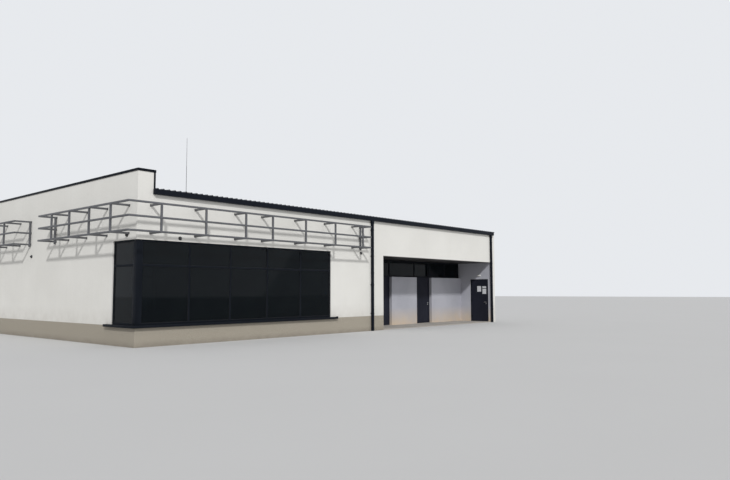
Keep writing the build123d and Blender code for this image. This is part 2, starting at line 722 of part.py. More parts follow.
for side, turn in zip(("front", "rear"), CORNERS):
    with BuildPart() as long_side:
        front_frame(turn)
    finish(long_side, f"{side}_sign_frame")
    with BuildPart() as long_arms:
        front_arms(turn)
    finish(long_arms, f"{side}_sign_arms")

with BuildPart() as side_sign_frames:
    for turn in CORNERS:
        side_frame(turn)
finish(side_sign_frames, "side_sign_frames")

with BuildPart() as side_sign_arms:
    for turn in CORNERS:
        side_arms(turn)
finish(side_sign_arms, "side_sign_arms")

# Dome lamps on the walls: a round base with a glass dome, turned about the axis out of the wall
LAMP_HEIGHT = WINDOW_HEAD + LAMP_ABOVE_WINDOW
lamp_spots = (
    ((LEFT + LAMP_FROM_CORNER, FRONT, LAMP_HEIGHT), (0, -1, 0)),
    ((LEFT + FRONT_RAIL_END + END_LAMP[0], FRONT, WINDOW_HEAD + END_LAMP[1]), (0, -1, 0)),
    ((LEFT, FRONT + GABLE_LAMP[0], GABLE_LAMP[1]), (-1, 0, 0)),
)
with BuildPart() as wall_lamps:
    for spot, outward in lamp_spots:
        with BuildSketch(Plane(origin=spot, x_dir=(0, 0, 1), z_dir=(-outward[1], outward[0], 0))):
            with BuildLine():
                Polyline((LAMP_DOME, LAMP_BASE), (LAMP_RADIUS, LAMP_BASE), (LAMP_RADIUS, 0), (0, 0),
                         (0, LAMP_BASE + LAMP_DOME))
                RadiusArc((0, LAMP_BASE + LAMP_DOME), (LAMP_DOME, LAMP_BASE), LAMP_DOME)
            make_face()
        revolve(axis=Axis(spot, outward))
finish(wall_lamps, "wall_lamps")

# Bulkhead lamp over the side door
with BuildPart() as porch_lamp:
    lamp_foot = SIDE_DOOR_TOP + PORCH_LAMP_GAP
    block(
        (PARTY_FACE - PORCH_LAMP_DEPTH, PARTY_FACE),
        around(SIDE_DOOR_NEAR + SIDE_DOOR_WIDTH / 2, PORCH_LAMP),
        (lamp_foot, lamp_foot + PORCH_LAMP_HEIGHT),
    )
    fillet(porch_lamp.faces().sort_by(Axis.X)[0].edges(), radius=PORCH_LAMP_DEPTH / 3)
finish(porch_lamp, "porch_lamp")

# Lightning rod on a round foot that lies on the rib crests
rod_x = LEFT + ROD_PLACE[0]
rod_y = FRONT + ROD_PLACE[1]
rod_z = roof_crest(ROD_PLACE[1])
roof_face = Plane(origin=(rod_x, rod_y, rod_z), x_dir=(1, 0, 0), z_dir=(0, -sin(slope), cos(slope)))
with BuildPart() as lightning_rod:
    with BuildSketch(roof_face):
        Circle(ROD_FOOT / 2)
    extrude(amount=ROD_FOOT_HEIGHT)
    with BuildSketch(Plane.XY.offset(rod_z + ROD_FOOT_HEIGHT / 2)):
        with Locations((rod_x, rod_y)):
            Circle(ROD / 2)
    extrude(amount=ROD_HEIGHT)
finish(lightning_rod, "lightning_rod")
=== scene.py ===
# %% [markdown]
# # Dressing a retail pavilion
#
# The solid model of this building is finished, and it arrives as a fixed frame: one object for each
# wall, window frame, door leaf, rail and gutter. This lesson gives every one of them its finish, and
# adds what is too fine for the solid model, such as rounded edges, seals, screws and sleeves.
#
# Everything is in metres, with X along the shop front, Y into the depth and Z up. LEFT and FRONT are
# the outer faces of the gable wall and the front wall, and the rear face lies at -FRONT.

# %% Load the frame
import math

import bmesh
import bpy
from mathutils import Matrix, Vector


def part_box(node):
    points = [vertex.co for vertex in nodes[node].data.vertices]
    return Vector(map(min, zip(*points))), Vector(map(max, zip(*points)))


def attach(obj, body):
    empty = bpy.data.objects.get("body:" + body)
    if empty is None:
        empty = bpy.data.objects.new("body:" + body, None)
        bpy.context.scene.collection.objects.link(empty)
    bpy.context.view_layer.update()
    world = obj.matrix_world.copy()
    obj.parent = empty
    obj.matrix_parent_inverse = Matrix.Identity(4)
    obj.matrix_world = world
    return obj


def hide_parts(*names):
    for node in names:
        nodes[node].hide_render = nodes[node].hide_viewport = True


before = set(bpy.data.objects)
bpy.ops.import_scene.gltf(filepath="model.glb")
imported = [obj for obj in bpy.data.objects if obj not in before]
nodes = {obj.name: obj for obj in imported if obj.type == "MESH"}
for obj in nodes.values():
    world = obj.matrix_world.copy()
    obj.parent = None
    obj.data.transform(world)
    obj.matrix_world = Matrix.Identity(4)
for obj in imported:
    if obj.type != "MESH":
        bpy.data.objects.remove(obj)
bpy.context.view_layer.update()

LEFT, FRONT = -10.45, -6.55

# %% [markdown]
# ## Camera
#
# The camera stands at eye height, some 18 m in front of the shop and 10 m to its left. It could be
# aimed with a Track To constraint, or turned by three angles. Angles are kept here, because they were
# measured from the edges of the building: the yaw runs from +X towards +Y, the pitch is upwards and
# the roll is a slight tilt to one side. The focal length goes with a sensor 36 mm wide.

# %% Camera
VIEWPOINT = (-20.46, -24.36, 1.65)
YAW, PITCH, ROLL = 41.22, 4.51, -0.14
SENSOR, FOCAL_LENGTH, FAR_LIMIT = 36, 32.01, 500


def add_object(name, data):
    """A new object in the scene."""
    made = bpy.data.objects.new(name, data)
    bpy.context.scene.collection.objects.link(made)
    return made


camera = add_object("camera", bpy.data.cameras.new("camera"))
camera.location = VIEWPOINT
turn = Matrix.Rotation(math.radians(YAW - 90), 4, "Z")
turn = turn @ Matrix.Rotation(math.radians(90 + PITCH), 4, "X")
camera.rotation_euler = (turn @ Matrix.Rotation(math.radians(ROLL), 4, "Z")).to_euler()
camera.data.sensor_width = SENSOR
camera.data.lens = FOCAL_LENGTH
camera.data.clip_end = FAR_LIMIT
bpy.context.scene.camera = camera
bpy.context.scene.view_settings.view_transform = "Standard"
print("camera:", VIEWPOINT, "lens:", FOCAL_LENGTH)

# %% [markdown]
# ## Recipes for finishes
#
# Every finish is one Principled shader, fed by a few noise and cell patterns. Typing the node calls
# out for a dozen finishes would bury what differs between them, so a small class holds the shader
# and offers the steps that a painter would name: mottle, cells, a layer over another, relief.
# The patterns read Object coordinates, which on this frame are real metres, so a size of 0.004 means
# grains 4 mm across on every wall.

# %% Recipe helper
class Finish:
    """One finish: a Principled shader and the patterns that feed it."""

    def __init__(self, name, roughness, metallic=0.0, specular=0.5):
        self.material = bpy.data.materials.new(name)
        self.material.use_nodes = True
        self.tree = self.material.node_tree
        self.shader = self.tree.nodes["Principled BSDF"]
        self.shader.inputs["Roughness"].default_value = roughness
        self.shader.inputs["Metallic"].default_value = metallic
        self.shader.inputs["Specular IOR Level"].default_value = specular
        self.place = self.tree.nodes.new("ShaderNodeTexCoord").outputs["Object"]

    def feed(self, socket, value):
        """Link an output, or write a number or colour."""
        if isinstance(value, bpy.types.NodeSocket):
            self.tree.links.new(value, socket)
        elif isinstance(value, tuple):
            socket.default_value = (*value, 1.0)
        else:
            socket.default_value = value

    def node(self, kind, inputs=None, **fields):
        """A new node with its fields set and its inputs fed."""
        made = self.tree.nodes.new(kind)
        for field, value in fields.items():
            setattr(made, field, value)
        for socket, value in (inputs or {}).items():
            self.feed(made.inputs[socket], value)
        return made

    def stretched(self, x, y, z):
        """The place on the piece, stretched along one axis or another."""
        mapping = self.node("ShaderNodeMapping", {"Vector": self.place})
        mapping.inputs["Scale"].default_value = (x, y, z)
        return mapping.outputs["Vector"]

    def noise(self, size, detail=3.0, rough=0.5, place=None):
        """Soft mottling with blobs of about the given size."""
        inputs = {"Vector": place or self.place, "Scale": 1 / size, "Detail": detail, "Roughness": rough}
        return self.node("ShaderNodeTexNoise", inputs).outputs["Fac"]

    def cells(self, size, output="Color"):
        """Grains or crystals of the given size."""
        inputs = {"Vector": self.place, "Scale": 1 / size}
        return self.node("ShaderNodeTexVoronoi", inputs).outputs[output]

    def axis(self, name):
        """Height, or the distance along X or Y."""
        return self.node("ShaderNodeSeparateXYZ", {"Vector": self.place}).outputs[name]

    def upward(self):
        """How far a face looks up, from 0 on a wall to 1 on a floor."""
        normal = self.node("ShaderNodeNewGeometry").outputs["Normal"]
        split = self.node("ShaderNodeSeparateXYZ", {"Vector": normal})
        return self.span(split.outputs["Z"], 0.2, 0.9)

    def span(self, value, start, end, low=0.0, high=1.0):
        """Bring a stretch of values to a range, and hold it at both ends."""
        inputs = {"Value": value, "From Min": start, "From Max": end, "To Min": low, "To Max": high}
        return self.node("ShaderNodeMapRange", inputs).outputs["Result"]

    def mottle(self, size, detail, start, end, low=0.0, high=1.0):
        """Noise of about the given size, brought to a range."""
        return self.span(self.noise(size, detail), start, end, low, high)

    def math(self, how, first, second):
        return self.node("ShaderNodeMath", {0: first, 1: second}, operation=how).outputs["Value"]

    def times(self, first, second):
        return self.math("MULTIPLY", first, second)

    def layer(self, amount, under, over):
        """Lay one colour over another by an amount from 0 to 1."""
        inputs = {0: amount, 6: under, 7: over}
        return self.node("ShaderNodeMix", inputs, data_type="RGBA").outputs[2]

    def tones(self, value, *stops):
        """A colour for each stretch of a value: stops of position and colour."""
        made = self.node("ShaderNodeValToRGB", {"Fac": value})
        ramp = made.color_ramp
        while len(ramp.elements) < len(stops):
            ramp.elements.new(1.0)
        for element, (position, colour) in zip(ramp.elements, stops):
            element.position = position
            element.color = (*colour, 1.0)
        return made.outputs["Color"]

    def relief(self, height, depth, under=None):
        """Small bumps, their height in metres, over a coarser relief if there is one."""
        inputs = {"Height": height, "Distance": depth}
        if under is not None:
            inputs["Normal"] = under
        return self.node("ShaderNodeBump", inputs).outputs["Normal"]

    def done(self, colour, normal=None, roughness=None):
        """Feed the shader, and hand over the material."""
        for name, value in (("Base Color", colour), ("Normal", normal), ("Roughness", roughness)):
            if value is not None:
                self.feed(self.shader.inputs[name], value)
        return self.material


print("recipe helper ready")

# %% [markdown]
# ## Render and plinth
#
# The walls carry a fine scratched render in a warm white, worked with a float, so it has grains of
# 2 to 3 mm and slight waves some 14 cm across. It darkens a little just above the plinth, where
# rain splashes, and in faint runs down the wall. Bump shows grains that no mesh could carry.
# The plinth is a mosaic plaster of stone chips: cells with one tone each, mixed from four.

# %% White render
WHITE, WHITE_SHADE, SPLASH = (0.79, 0.78, 0.74), (0.745, 0.735, 0.695), (0.52, 0.49, 0.445)
PLINTH_TOP, SPLASH_TOP, GRAIN, WAVE = 0.62, 1.15, 0.0026, 0.14


def render_relief(coat, grain_depth, wave_depth):
    waves = coat.relief(coat.noise(WAVE, 2), wave_depth)
    return coat.relief(coat.noise(GRAIN, 3, 0.65), grain_depth, waves)


def render_coat(name):
    """White render: its shader, colour and relief, so that paint can still go over the colour."""
    coat = Finish(name, roughness=0.9, specular=0.25)
    cloud = coat.mottle(1.9, 4, 0.35, 0.65)
    colour = coat.layer(cloud, WHITE, WHITE_SHADE)
    runs = coat.span(coat.noise(0.16, 3, place=coat.stretched(1, 1, 0.07)), 0.52, 0.8, 0, 0.06)
    colour = coat.layer(runs, colour, SPLASH)
    low = coat.span(coat.axis("Z"), PLINTH_TOP, SPLASH_TOP, 0.3, 0)
    low = coat.times(low, coat.mottle(0.3, 4, 0.3, 0.7, 0.4, 1.6))
    colour = coat.layer(low, colour, SPLASH)
    speck = coat.mottle(0.004, 2, 0.3, 0.72)
    colour = coat.layer(coat.times(speck, 0.14), colour, SPLASH)
    return coat, colour, render_relief(coat, 0.0011, 0.004)


coat, colour, grain = render_coat("white_render")
WHITE_RENDER = coat.done(colour, grain)
print("finish:", WHITE_RENDER.name)

# %% Plinth plaster
CHIP = 0.0035
chips = Finish("mosaic_plaster", roughness=0.72, specular=0.35)
chip = chips.tones(
    chips.cells(CHIP),
    (0.0, (0.16, 0.14, 0.108)),
    (0.3, (0.285, 0.255, 0.205)),
    (0.62, (0.38, 0.34, 0.275)),
    (0.9, (0.49, 0.455, 0.39)),
)
chip = chips.layer(chips.mottle(0.9, 4, 0.35, 0.7, 0, 0.35), chip, (0.34, 0.305, 0.248))
damp = chips.span(chips.axis("Z"), 0.02, 0.2, 0.45, 0)
damp = chips.times(damp, chips.mottle(0.25, 4, 0.3, 0.7, 0.5, 1.3))
chip = chips.layer(damp, chip, (0.17, 0.15, 0.125))
PLINTH_PLASTER = chips.done(chip, chips.relief(chips.cells(CHIP, "Distance"), 0.0016))
print("finish:", PLINTH_PLASTER.name)

# %% [markdown]
# ## Walls of the porch
#
# Inside the porch the render is painted a cool grey, which turns a soft tan towards the floor.
# The party wall is one solid in the model, yet only its porch side is grey. A mask on the place does
# that without cutting the mesh: grey where X, Y and Z lie within the porch, white elsewhere.

# %% Grey paint
PORCH_X, PORCH_Y, PORCH_Z = (1.0, 10.06), (-6.545, -4.35), (0.0, 3.16)
GREY, GREY_SHADE, LOW_TAN = (0.47, 0.475, 0.52), (0.41, 0.415, 0.46), (0.61, 0.5, 0.375)


def grey_paint(coat):
    """Grey that turns tan towards the floor, fading out 85 cm above it."""
    grey = coat.layer(coat.mottle(1.1, 4, 0.35, 0.68), GREY, GREY_SHADE)
    low_tan = coat.span(coat.axis("Z"), 0.05, 0.85, 0.95, 0)
    low_tan = coat.times(low_tan, coat.mottle(0.5, 3, 0.2, 0.75, 0.6, 1.1))
    return coat.layer(low_tan, grey, LOW_TAN)


painted = Finish("grey_render", roughness=0.85, specular=0.25)
GREY_RENDER = painted.done(grey_paint(painted), render_relief(painted, 0.0009, 0.003))

coat, colour, grain = render_coat("party_render")
inside = None
for name, (low, high) in (("X", PORCH_X), ("Y", PORCH_Y), ("Z", PORCH_Z)):
    along = coat.axis(name)
    past_low, before_high = coat.math("GREATER_THAN", along, low), coat.math("LESS_THAN", along, high)
    within = coat.times(past_low, before_high)
    inside = within if inside is None else coat.times(inside, within)
PARTY_RENDER = coat.done(coat.layer(inside, colour, grey_paint(coat)), grain)
print("finishes:", GREY_RENDER.name, PARTY_RENDER.name)

# %% [markdown]
# ## Floors
#
# Indoors the floor is smooth concrete, with clouds from the power float. The porch is paved with
# concrete slabs 60 cm square. A Brick texture draws the joints: its mortar mask darkens the joints
# and lowers them in the bump, so one pattern serves both.

# %% Concrete and paving
PAVER, PAVER_JOINT = 0.6, 0.004
floated = Finish("floated_concrete", roughness=0.6, specular=0.4)
cloud = floated.noise(0.8, 6, 0.6)
cloud = floated.tones(cloud, (0.3, (0.26, 0.25, 0.235)), (0.7, (0.35, 0.34, 0.32)))
CONCRETE = floated.done(cloud, floated.relief(floated.noise(0.02, 4), 0.0008))

paved = Finish("porch_paving", roughness=0.85, specular=0.3)
bricks = {
    "Vector": paved.place, "Scale": 1.0, "Mortar Size": PAVER_JOINT, "Mortar Smooth": 0.2,
    "Brick Width": PAVER, "Row Height": PAVER, "Bias": 0.0, "Color1": (0.44, 0.41, 0.37),
    "Color2": (0.38, 0.355, 0.32), "Mortar": (0.16, 0.15, 0.135),
}
slab = paved.node("ShaderNodeTexBrick", bricks, offset=0.0, squash=1.0)
speckle = paved.mottle(0.006, 3, 0.3, 0.7, 0, 0.35)
speckled = paved.layer(speckle, slab.outputs["Color"], (0.5, 0.47, 0.43))
joints = paved.relief(paved.span(slab.outputs["Fac"], 0, 1, 1, 0), 0.004)
PAVING = paved.done(speckled, paved.relief(paved.noise(0.004, 3), 0.0006, joints))
print("finishes:", CONCRETE.name, PAVING.name)

# %% [markdown]
# ## Metals
#
# Frames, sills, gutters and doors are powder coated in anthracite: a dark blue-grey with a fine
# orange-peel skin. The coat is matt, so a low specular level keeps it dark in daylight. Dust gathers
# where a face looks up, and the Normal of the Geometry node tells where that is.
# The roof sheet has a paler and shinier coat, with runs that the rain left down the slope.
# The sign frames are hot-dip galvanised. Zinc freezes in crystals of about a centimetre, and a Voronoi
# texture gives each its own tone and shine.

# %% Coated metals
PEEL, PEEL_DEPTH = 0.0018, 0.00012


def powder_coat(name, colour, dusty, roughness=0.42, dust_share=0.35):
    metal = Finish(name, roughness, specular=0.07)
    cloud = metal.mottle(0.7, 3, 0.35, 0.7, 0, 0.5)
    tone = metal.layer(cloud, colour, tuple(1.35 * c for c in colour))
    patches = metal.span(metal.noise(0.05, 5, 0.6), 0.35, 0.7, 0.1, dust_share)
    tone = metal.layer(metal.times(metal.upward(), patches), tone, dusty)
    rough = metal.mottle(0.09, 4, 0.3, 0.7, roughness - 0.06, roughness + 0.1)
    return metal.done(tone, metal.relief(metal.noise(PEEL, 2), PEEL_DEPTH), rough)


ANTHRACITE = powder_coat("anthracite_coat", (0.0065, 0.0085, 0.0125), (0.03, 0.028, 0.026), 0.5)
DOOR_COAT = powder_coat("door_coat", (0.016, 0.0175, 0.0265), (0.04, 0.039, 0.037))
GUTTER_COAT = powder_coat("gutter_coat", (0.0065, 0.0085, 0.0135), (0.03, 0.031, 0.034), dust_share=0.25)

sheet = Finish("roof_sheet_coat", 0.36, specular=0.5)
cloud = sheet.mottle(1.4, 4, 0.3, 0.7)
tone = sheet.layer(cloud, (0.062, 0.072, 0.09), (0.082, 0.094, 0.114))
runs = sheet.span(sheet.noise(0.09, 4, place=sheet.stretched(1, 0.06, 1)), 0.45, 0.75, 0, 0.45)
tone = sheet.layer(runs, tone, (0.15, 0.155, 0.165))
rough = sheet.span(runs, 0, 0.45, 0.3, 0.5)
ROOF_SHEET = sheet.done(tone, sheet.relief(sheet.noise(0.002, 2), PEEL_DEPTH), rough)

soffit = Finish("soffit_coat", 0.45, specular=0.4)
cloud = soffit.mottle(0.5, 3, 0.35, 0.7)
tone = soffit.layer(cloud, (0.02, 0.0185, 0.018), (0.032, 0.029, 0.028))
SOFFIT_COAT = soffit.done(tone, soffit.relief(soffit.noise(PEEL, 2), PEEL_DEPTH))
print("coats:", *(one.name for one in (ANTHRACITE, DOOR_COAT, GUTTER_COAT, ROOF_SHEET, SOFFIT_COAT)))

# %% Galvanised and bare steel
zinc = Finish("hot_dip_zinc", 0.5, metallic=0.55, specular=0.5)
crystal = zinc.span(zinc.cells(0.012), 0, 1)
tone = zinc.layer(crystal, (0.1, 0.103, 0.112), (0.155, 0.158, 0.168))
tone = zinc.layer(zinc.mottle(0.25, 4, 0.45, 0.75, 0, 0.55), tone, (0.1, 0.1, 0.105))
white_bloom = zinc.times(zinc.upward(), zinc.mottle(0.04, 4, 0.4, 0.7, 0.1, 0.6))
tone = zinc.layer(white_bloom, tone, (0.3, 0.3, 0.298))
skin = zinc.relief(zinc.noise(0.02, 3), 0.0006)
ZINC = zinc.done(tone, skin, zinc.span(crystal, 0, 1, 0.38, 0.6))

brushed = Finish("brushed_steel", 0.3, metallic=1.0)
hairs = brushed.noise(0.0011, 2, place=brushed.stretched(0.06, 0.06, 1))
tone = brushed.layer(hairs, (0.5, 0.5, 0.505), (0.66, 0.655, 0.65))
BRUSHED = brushed.done(tone, brushed.relief(hairs, 0.00006), brushed.span(hairs, 0.3, 0.7, 0.24, 0.38))
print("finishes:", ZINC.name, BRUSHED.name)

# %% [markdown]
# ## Glass, seals and lamps
#
# The panes are tinted sun-control glass. Clear Principled glass would show the room as bright as the
# street, so the transmission is held to a part and the base colour is a very dark blue-green: the
# rest of the light is absorbed. How much a pane mirrors follows its IOR. At 1.5 a pale background
# would veil every pane, and at 1.2 it leaves a faint reflection on dark glass.

# %% Glass
tinted = Finish("tinted_glass", 0.03, specular=0.11)
tinted.shader.inputs["Transmission Weight"].default_value = 0.85
tinted.shader.inputs["IOR"].default_value = 1.2
cloud = tinted.mottle(0.6, 4, 0.4, 0.75, 0, 0.5)
film = tinted.layer(cloud, (0.014, 0.025, 0.035), (0.028, 0.046, 0.052))
GLASS = tinted.done(film, None, tinted.mottle(0.15, 4, 0.45, 0.8, 0.02, 0.07))
print("finish:", GLASS.name)

# %% Rubber, plastics and paper
rubber = Finish("seal_rubber", 0.75, specular=0.3)
tone = rubber.layer(rubber.noise(0.02, 3), (0.012, 0.012, 0.013), (0.02, 0.02, 0.021))
RUBBER = rubber.done(tone, rubber.relief(rubber.noise(0.002, 2), 0.0002))

shell = Finish("black_lamp_shell", 0.3)
tone = shell.layer(shell.noise(0.03, 3), (0.018, 0.018, 0.02), (0.03, 0.03, 0.032))
LAMP_SHELL = shell.done(tone, shell.relief(shell.noise(0.0015, 2), 0.0001))

smoked = Finish("smoked_dome", 0.16)
cloud = smoked.mottle(0.04, 3, 0.35, 0.75)
tone = smoked.layer(cloud, (0.035, 0.036, 0.04), (0.055, 0.056, 0.06))
SMOKED = smoked.done(tone, smoked.relief(smoked.noise(0.012, 2), 0.0002))

opal = Finish("opal_diffuser", 0.25)
cloud = opal.mottle(0.05, 3, 0.4, 0.8, 0, 0.4)
tone = opal.layer(cloud, (0.72, 0.72, 0.7), (0.6, 0.585, 0.54))
OPAL = opal.done(tone, opal.relief(opal.noise(0.003, 2), 0.0001))

paper = Finish("blank_notice", 0.6, specular=0.4)
tone = paper.layer(paper.mottle(0.06, 4, 0.35, 0.75), (0.66, 0.67, 0.69), (0.56, 0.57, 0.6))
PAPER = paper.done(tone, paper.relief(paper.noise(0.03, 3), 0.0006))
print("finishes:", *(one.name for one in (RUBBER, LAMP_SHELL, SMOKED, OPAL, PAPER)))

# %% [markdown]
# ## Finishes for the solids
#
# A solid whose shape is right stays, and only gets its finish. The list runs from solids to finish,
# and whatever a later cell replaces needs no entry.

# %% Assign finishes
FINISH_OF = {
    "front_wall rear_wall gable_wall porch_beam": WHITE_RENDER,
    "party_wall party_wall_pier party_wall_lintel porch_cheek_wall": PARTY_RENDER,
    "front_plinth gable_plinth rear_plinth": PLINTH_PLASTER,
    "porch_panels": GREY_RENDER,
    "floor_slab": CONCRETE,
    "porch_floor": PAVING,
    "front_roof rear_roof": ROOF_SHEET,
    "parapet_flashing eave_fascias": ANTHRACITE,
    "gutters": GUTTER_COAT,
    "window_glass clerestory_glass": GLASS,
    "door_frame_hinges entrance_door_hinges side_door_hinges": ANTHRACITE,
    "porch_infill_panel entrance_door_frame side_door_frame": DOOR_COAT,
}
for names, material in FINISH_OF.items():
    for name in names.split():
        mesh = nodes[name].data
        mesh.materials.clear()
        mesh.materials.append(material)
print("dressed:", sum(len(names.split()) for names in FINISH_OF))

# %% [markdown]
# ## Helpers for new pieces
#
# New pieces are grown in a bmesh, the editable mesh behind Edit Mode. Three helpers cover most of
# them: a block between two corners, a rod between two points, and a step that turns the finished
# bmesh into an object that rides on its body. Two more read a solid. One lists the box of each part
# of it, which saves typing places again. The other copies it with whole faces and rounded edges.

# %% Mesh helpers
MERGE_DISTANCE, FLAT_ANGLE, SHARP_ANGLE = 1e-5, math.radians(1), math.radians(40)


def round_edges(bm, edges, width, segments=2):
    """Bevel edges to a round of the given width."""
    bmesh.ops.bevel(
        bm, geom=edges, offset=width, segments=segments, profile=0.5, affect="EDGES", material=-1,
        clamp_overlap=True,
    )


def edges_at(verts):
    return list({edge for vert in verts for edge in vert.link_edges})


def add_block(bm, low, high, edge=0.0, segments=2):
    """A block between two corners, with its edges rounded."""
    low, high = Vector(low), Vector(high)
    verts = bmesh.ops.create_cube(bm, size=1)["verts"]
    bmesh.ops.scale(bm, vec=high - low, verts=verts)
    bmesh.ops.translate(bm, vec=(low + high) / 2, verts=verts)
    if edge:
        round_edges(bm, edges_at(verts), edge, segments)


def add_rod(bm, start, end, radius, far_radius=None, sides=24):
    """A closed rod or cone from one point to another."""
    start, end = Vector(start), Vector(end)
    far_radius = radius if far_radius is None else far_radius
    verts = bmesh.ops.create_cone(
        bm, cap_ends=True, segments=sides, radius1=radius, radius2=far_radius, depth=(end - start).length
    )["verts"]
    turned = (end - start).to_track_quat("Z", "Y").to_matrix()
    bmesh.ops.rotate(bm, cent=(0, 0, 0), matrix=turned, verts=verts)
    bmesh.ops.translate(bm, vec=(start + end) / 2, verts=verts)
    return verts


def as_piece(bm, name, material, body="building", stands_for=(), smooth=35):
    """Turn a bmesh into a piece of the building: finish, shading and body."""
    mesh = bpy.data.meshes.new(name)
    bm.to_mesh(mesh)
    bm.free()
    for one in material if isinstance(material, tuple) else (material,):
        mesh.materials.append(one)
    if smooth:
        mesh.shade_smooth()
        mesh.set_sharp_from_angle(angle=math.radians(smooth))
    made = add_object(name, mesh)
    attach(made, body)
    if stands_for:
        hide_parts(*stands_for)
    print(f"{name}: {sum(len(p.vertices) - 2 for p in mesh.polygons)} triangles")


def merged_copy(node):
    bm = bmesh.new()
    bm.from_mesh(nodes[node].data)
    bmesh.ops.remove_doubles(bm, verts=bm.verts, dist=MERGE_DISTANCE)
    return bm


def solid_boxes(node):
    """Lowest and highest corners of each separate solid of a node, in order along X, Y and Z."""
    bm = merged_copy(node)
    seen, boxes = set(), []
    for first in bm.verts:
        if first in seen:
            continue
        seen.add(first)
        group, waiting = [], [first]
        while waiting:
            vert = waiting.pop()
            group.append(vert.co.copy())
            for edge in vert.link_edges:
                other = edge.other_vert(vert)
                if other not in seen:
                    seen.add(other)
                    waiting.append(other)
        boxes.append(tuple(
            Vector([pick(co[i] for co in group) for i in range(3)]) for pick in (min, max)
        ))
    bm.free()
    return sorted(boxes, key=lambda box: tuple(round(v, 4) for v in (*box[0], *box[1])))


def softened(node, width, material):
    """A copy of a node with whole faces and rounded edges, which stands for it."""
    bm = merged_copy(node)
    bmesh.ops.dissolve_limit(bm, angle_limit=FLAT_ANGLE, verts=bm.verts, edges=bm.edges)
    sharp = [e for e in bm.edges if e.is_manifold and e.calc_face_angle(0) > SHARP_ANGLE]
    round_edges(bm, sharp, width)
    as_piece(bm, f"{node}_rounded", material, stands_for=(node,))


print("window panes:", len(solid_boxes("window_glass")))

# %% [markdown]
# ## Roof sheet
#
# The ribs of the trapezoidal sheet are in the solid model, 20 cm apart, so the roofs only take their
# finish. What a roofer adds is too fine for it: dark foam closures that fill the rib ends at the eave,
# the edge rib of each sheet, which covers the next sheet's, and screws with washers on the crests.
# All of them follow the slope. They are laid out flat, with Y up the slope from the wall's face, and
# one matrix then leans them on the roof. A bar with any section is one face pushed along Y.

# %% Closures and side laps
PITCH_OF_ROOF = math.radians(3)
ROOF_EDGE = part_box("parapet_flashing")[0].z
RIB_STEP, RIB_FOOT, RIB_CREST, RIB_HEIGHT, SHEET = 0.2, 0.08, 0.036, 0.037, 0.005
FIRST_RIB, RIBS, RIBS_PER_SHEET = -9.81, 102, 5
RUN = -FRONT / math.cos(PITCH_OF_ROOF)
EAVE_LAP = 0.05 / math.cos(PITCH_OF_ROOF)
CLOSURE_INSET, CLOSURE_PROUD, CLOSURE_DEPTH = 0.0035, 0.0012, 0.002
LAP_METAL, LAP_FLANGE, LAP_LIP, LAP_PROUD, LAP_END = 0.0012, 0.014, 0.004, 0.001, 0.1
foot, crest = RIB_FOOT / 2, RIB_CREST / 2


def slope_matrix(side):
    """From the flat layout to its place on one side of the roof."""
    lean = Matrix.Translation((0, FRONT, ROOF_EDGE)) @ Matrix.Rotation(PITCH_OF_ROOF, 4, "X")
    return lean if side == "front" else Matrix.Rotation(math.pi, 4, "Z") @ lean


def rib_middles(side):
    """Places of the ribs along the flat layout, which the rear roof reads from the other end."""
    middles = [FIRST_RIB + number * RIB_STEP for number in range(RIBS)]
    return middles if side == "front" else [-x for x in middles]


def push(bm, pushed, way):
    """Move what an extrusion has made."""
    verts = [one for one in pushed["geom"] if isinstance(one, bmesh.types.BMVert)]
    bmesh.ops.translate(bm, vec=way, verts=verts)


def closure_outline(x):
    """The hollow of a rib, a little smaller all round."""
    low, high, top = foot - 2 * CLOSURE_INSET, crest - CLOSURE_INSET, RIB_HEIGHT - CLOSURE_INSET
    return [(x - low, SHEET), (x + low, SHEET), (x + high, top), (x - high, top)]


def lap_outline(x):
    """The line over a rib, and the same line raised by the metal."""
    line = [(x - foot - LAP_FLANGE, SHEET), (x - foot, SHEET), (x - crest, RIB_HEIGHT)]
    line += [(x + crest, RIB_HEIGHT), (x + foot, SHEET), (x + foot + LAP_LIP, SHEET)]
    return line + [(a, b + LAP_METAL) for a, b in reversed(line)]


def bars_on_ribs(outline, first, every, start, end):
    """Bars of one section along the ribs of both slopes."""
    bm = bmesh.new()
    for side in ("front", "rear"):
        before = set(bm.verts)
        for middle in rib_middles(side)[first::every]:
            section = bm.faces.new([bm.verts.new((x, start, z)) for x, z in outline(middle)])
            push(bm, bmesh.ops.extrude_face_region(bm, geom=[section]), (0, end - start, 0))
        laid = [vert for vert in bm.verts if vert not in before]
        bmesh.ops.transform(bm, matrix=slope_matrix(side), verts=laid)
    bmesh.ops.recalc_face_normals(bm, faces=bm.faces)
    return bm


closures = bars_on_ribs(closure_outline, 0, 1, -EAVE_LAP - CLOSURE_PROUD, -EAVE_LAP + CLOSURE_DEPTH)
as_piece(closures, "rib_closures", RUBBER, smooth=0)
laps = bars_on_ribs(
    lap_outline, RIBS_PER_SHEET, RIBS_PER_SHEET, -EAVE_LAP - LAP_PROUD, RUN - LAP_END
)
as_piece(laps, "sheet_laps", ROOF_SHEET, smooth=0)

# %% [markdown]
# Every crest is screwed down at the eave and beside the ridge flashing, and every second one at the
# purlins between. There are some hundreds of screws, so each has only a few sides.

